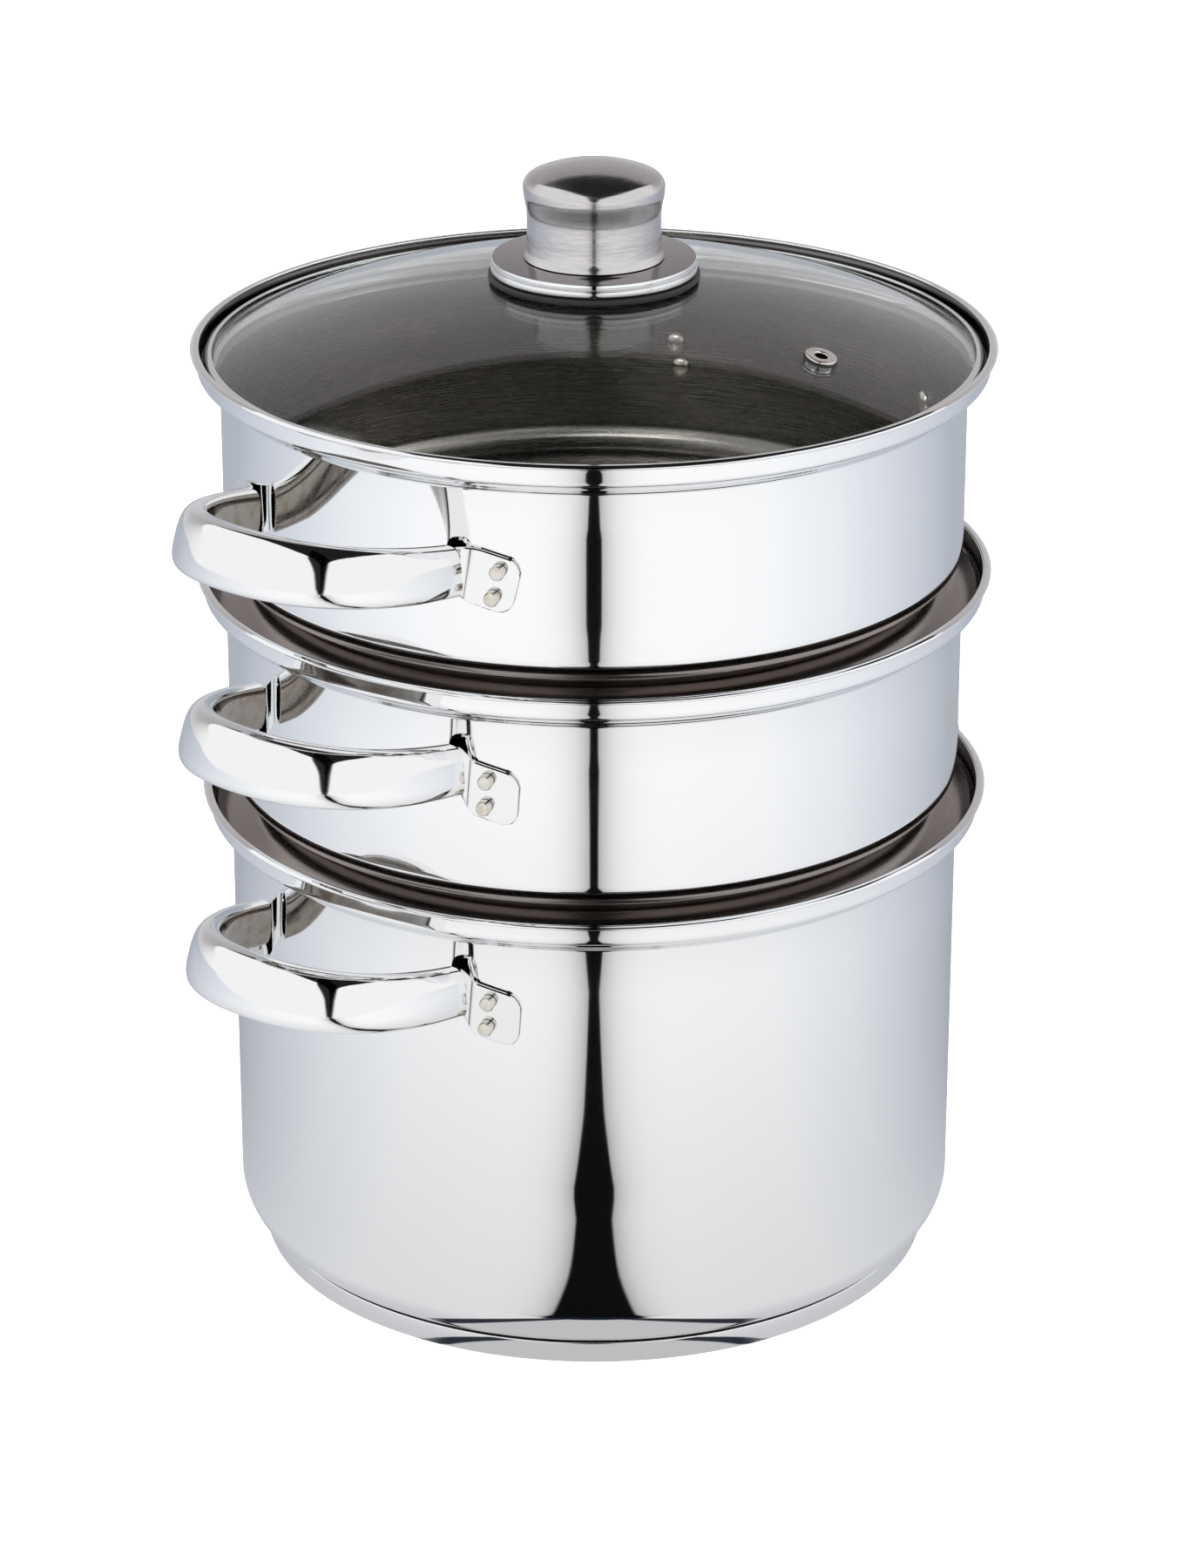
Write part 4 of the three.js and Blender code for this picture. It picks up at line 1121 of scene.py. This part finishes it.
def floor_pattern(tree, place):
    """What polished metal shows of the floor at a place on it."""
    u = dot(tree, place, TO_RIGHT / MM)
    v = dot(tree, place, TO_CAMERA / MM)
    side = calc(tree, "ABSOLUTE", u)
    away = calc(tree, "SQRT", calc(tree, "ADD", calc(tree, "MULTIPLY", u, u),
                                   calc(tree, "MULTIPLY", v, v)))
    turn = calc(tree, "MULTIPLY", calc(tree, "ARCTAN2", side, v), DEGREES)
    # Darker near the base: painted shade.
    near = table(tree, away, FLOOR_BY_DISTANCE)
    round_axis = table(tree, turn, FLOOR_BY_TURN)
    open_floor = blend(tree, 1.0, near, round_axis, "MULTIPLY")

    core = calc(tree, "MULTIPLY", table(tree, v, STRIP_HALF_WIDTH), STRIP_UNIT)
    past = calc(tree, "SUBTRACT", side, core)
    ahead = calc(tree, "MAXIMUM", calc(tree, "SUBTRACT", v, MARGIN_FROM), MARGIN_LEAST)
    fade = calc(tree, "MULTIPLY", ahead, MARGIN_SHARE)
    depth = calc(tree, "DIVIDE", calc(tree, "MAXIMUM", past, 0.0), fade)
    margin = calc(tree, "EXPONENT", calc(tree, "MULTIPLY", depth, -1.0))
    lit = calc(tree, "SUBTRACT", 1.0, calc(tree, "MULTIPLY", margin, MARGIN_DIM_SHARE))
    outside = span(tree, calc(tree, "DIVIDE", past, STRIP_EDGE),
                   -STRIP_EDGE_SHARE, STRIP_EDGE_SHARE, STRIP_DARK, 1.0)
    strip = calc(tree, "MULTIPLY", lit, outside)
    in_front = span(tree, v, *STRIP_START)
    strip = calc(tree, "ADD", calc(tree, "MULTIPLY", strip, in_front),
                 calc(tree, "SUBTRACT", 1.0, in_front))
    pattern = blend(tree, 1.0, open_floor, strip, "MULTIPLY")

    bend = calc(tree, "MAXIMUM", calc(tree, "SUBTRACT", turn, ARCH_FLAT_TURN), 0.0)
    arch = calc(tree, "ADD", away, calc(tree, "MULTIPLY", bend, ARCH_PER_DEGREE))
    patch = span(tree, arch, *PATCH_EDGE, 1.0, 0.0)
    pattern = blend(tree, patch, pattern, PATCH_COLOUR)
    off_arch = calc(tree, "ABSOLUTE", calc(tree, "SUBTRACT", arch, ARCH_AT))
    line = calc(tree, "MULTIPLY", span(tree, off_arch, *ARCH_HALF, 1.0, 0.0),
                span(tree, turn, *ARCH_FADE, ARCH_SHARE, 0.0))
    return blend(tree, line, pattern, ARCH_COLOUR)


def make_floor():
    size = FLOOR_HALF
    low = FLOOR_TOP
    floor = new_object("floor", [(-size, -size, low), (size, -size, low),
                                 (size, size, low), (-size, size, low)], [(0, 1, 2, 3)])
    material = bpy.data.materials.new("floor_paper")
    material.use_nodes = True
    tree = material.node_tree
    tree.nodes.clear()
    rays = add(tree, "ShaderNodeLightPath")
    place = add(tree, "ShaderNodeNewGeometry").outputs["Position"]
    pattern = floor_pattern(tree, place)
    mirrored = add(tree, "ShaderNodeEmission", {"Color": pattern, "Strength": 1.0}).outputs[0]
    grey = (PAPER_GREY, PAPER_GREY, PAPER_GREY, 1)
    paper = add(tree, "ShaderNodeBsdfDiffuse", {"Color": grey}).outputs[0]
    direct = calc(tree, "SUBTRACT", 1.0, rays.outputs["Is Diffuse Ray"])
    seen = calc(tree, "MULTIPLY", direct, PAPER_GLOW)
    white = add(tree, "ShaderNodeEmission", {"Color": WHITE, "Strength": seen}).outputs[0]
    plain = add(tree, "ShaderNodeAddShader", {0: paper, 1: white}).outputs[0]
    by_metal = calc(tree, "MINIMUM", rays.outputs["Glossy Depth"], 1.0)
    mix = add(tree, "ShaderNodeMixShader", {0: by_metal, 1: plain, 2: mirrored}).outputs[0]
    add(tree, "ShaderNodeOutputMaterial", {"Surface": mix})
    floor.data.materials.append(material)


def studio_pattern(tree, way):
    """What polished metal shows of the studio in a direction: two bright ceiling panels with a
    dark gap between them, a dark slit in front and a grey wall behind."""
    across = dot(tree, way, TO_RIGHT)
    v = dot(tree, way, TO_CAMERA)
    z = dot(tree, way, (0, 0, 1))
    rise = calc(tree, "MULTIPLY", calc(tree, "ARCSINE", z), DEGREES)
    side = calc(tree, "ABSOLUTE", across)
    turn = calc(tree, "MULTIPLY", calc(tree, "ARCTAN2", side, v), DEGREES)
    height = calc(tree, "MAXIMUM", z, HORIZON)
    aside = calc(tree, "SUBTRACT", calc(tree, "DIVIDE", across, height), GAP_MIDDLE)
    aside = calc(tree, "ABSOLUTE", aside)
    ahead = calc(tree, "DIVIDE", v, height)
    past = calc(tree, "SUBTRACT", aside, table(tree, ahead, GAP_HALF_WIDTH))
    panels = span(tree, past, *GAP_EDGE, GAP_DARK, 1.0)
    slit = span(tree, rise, *SLIT_RISE, *SLIT_HALF, smooth=False)
    past = calc(tree, "SUBTRACT", turn, slit)
    front = calc(tree, "MULTIPLY", panels, span(tree, past, *SLIT_EDGE, SLIT_DARK, 1.0))
    under_edge = span(tree, ahead, BACK_EDGE - BACK_EDGE_HALF, BACK_EDGE + BACK_EDGE_HALF, 1.0, 0.0)
    behind = calc(tree, "MULTIPLY", span(tree, turn, *BACK_TURN), under_edge)
    return blend(tree, behind, front, table(tree, rise, BACK_WALL))


def make_world():
    world = bpy.data.worlds.new("studio")
    bpy.context.scene.world = world
    world.use_nodes = True
    tree = world.node_tree
    tree.nodes.clear()
    rays = add(tree, "ShaderNodeLightPath")
    way = add(tree, "ShaderNodeTexCoord").outputs["Generated"]
    pattern = studio_pattern(tree, way)
    by_metal = calc(tree, "MINIMUM", rays.outputs["Glossy Depth"], 1.0)
    dimmed = calc(tree, "MULTIPLY", rays.outputs["Is Diffuse Ray"], SOFT_SHARE)
    soft = calc(tree, "SUBTRACT", 1.0, dimmed)
    plain = add(tree, "ShaderNodeBackground", {"Color": WHITE, "Strength": soft}).outputs[0]
    tented = add(tree, "ShaderNodeBackground", {"Color": pattern, "Strength": 1.0}).outputs[0]
    mix = add(tree, "ShaderNodeMixShader", {0: by_metal, 1: plain, 2: tented}).outputs[0]
    add(tree, "ShaderNodeOutputWorld", {"Surface": mix})


def make_lamp(name, place, size, power):
    light = bpy.data.lights.new(name, "AREA")
    light.size = size
    light.energy = power
    lamp = bpy.data.objects.new(name, light)
    lamp.location = place
    aim = Vector(LAMP_AIM) - Vector(place)
    lamp.rotation_mode = "QUATERNION"
    lamp.rotation_quaternion = aim.to_track_quat("-Z", "Y")
    lamp.visible_glossy = False
    bpy.context.scene.collection.objects.link(lamp)


def make_camera():
    data = bpy.data.cameras.new("camera")
    data.sensor_width = CAMERA_SENSOR
    data.lens = CAMERA_LENS
    data.shift_x = CAMERA_SHIFT
    data.clip_start, data.clip_end = CAMERA_CLIP
    camera = bpy.data.objects.new("camera", data)
    camera.location = CAMERA_PLACE
    camera.rotation_mode = "QUATERNION"
    camera.rotation_quaternion = Vector(CAMERA_AIM).to_track_quat("-Z", "Y")
    bpy.context.scene.collection.objects.link(camera)
    bpy.context.scene.camera = camera


# The pieces

make_camera()
make_vessel("pot", "pot_shell", BASE_H + CLEARANCE, POT_CORNER_R, False)
make_base()
for tier in ("middle", "top"):
    make_vessel(tier, f"{tier}_basket_shell", TIERS[tier]["lip"] - BASKET_FLOOR_DEPTH,
                BASKET_CORNER_R, True)
    make_seat_ring(tier)
for tier in TIERS:
    for side in ("left", "right"):
        make_handle(tier, side)
    make_brackets(tier)
    make_rivets(tier)
make_glass()
make_lid_ring()
make_knob_seat()
make_flange()
make_knob()
make_spool("vent_grommet", GROMMET_SIZES, SEAL)
make_spool("vent_eyelet", EYELET_SIZES, EYELET)
make_fastener()

for node, material in (("base_core", ALUMINIUM), ("knob_core", PLUG), ("lid_screw", RIVET)):
    for slot in frame["nodes"][node].material_slots:
        slot.material = material

make_floor()
make_world()
for name, (place, size, power) in LAMPS.items():
    make_lamp(name, place, size, power)

bpy.context.scene.view_settings.view_transform = "Standard"
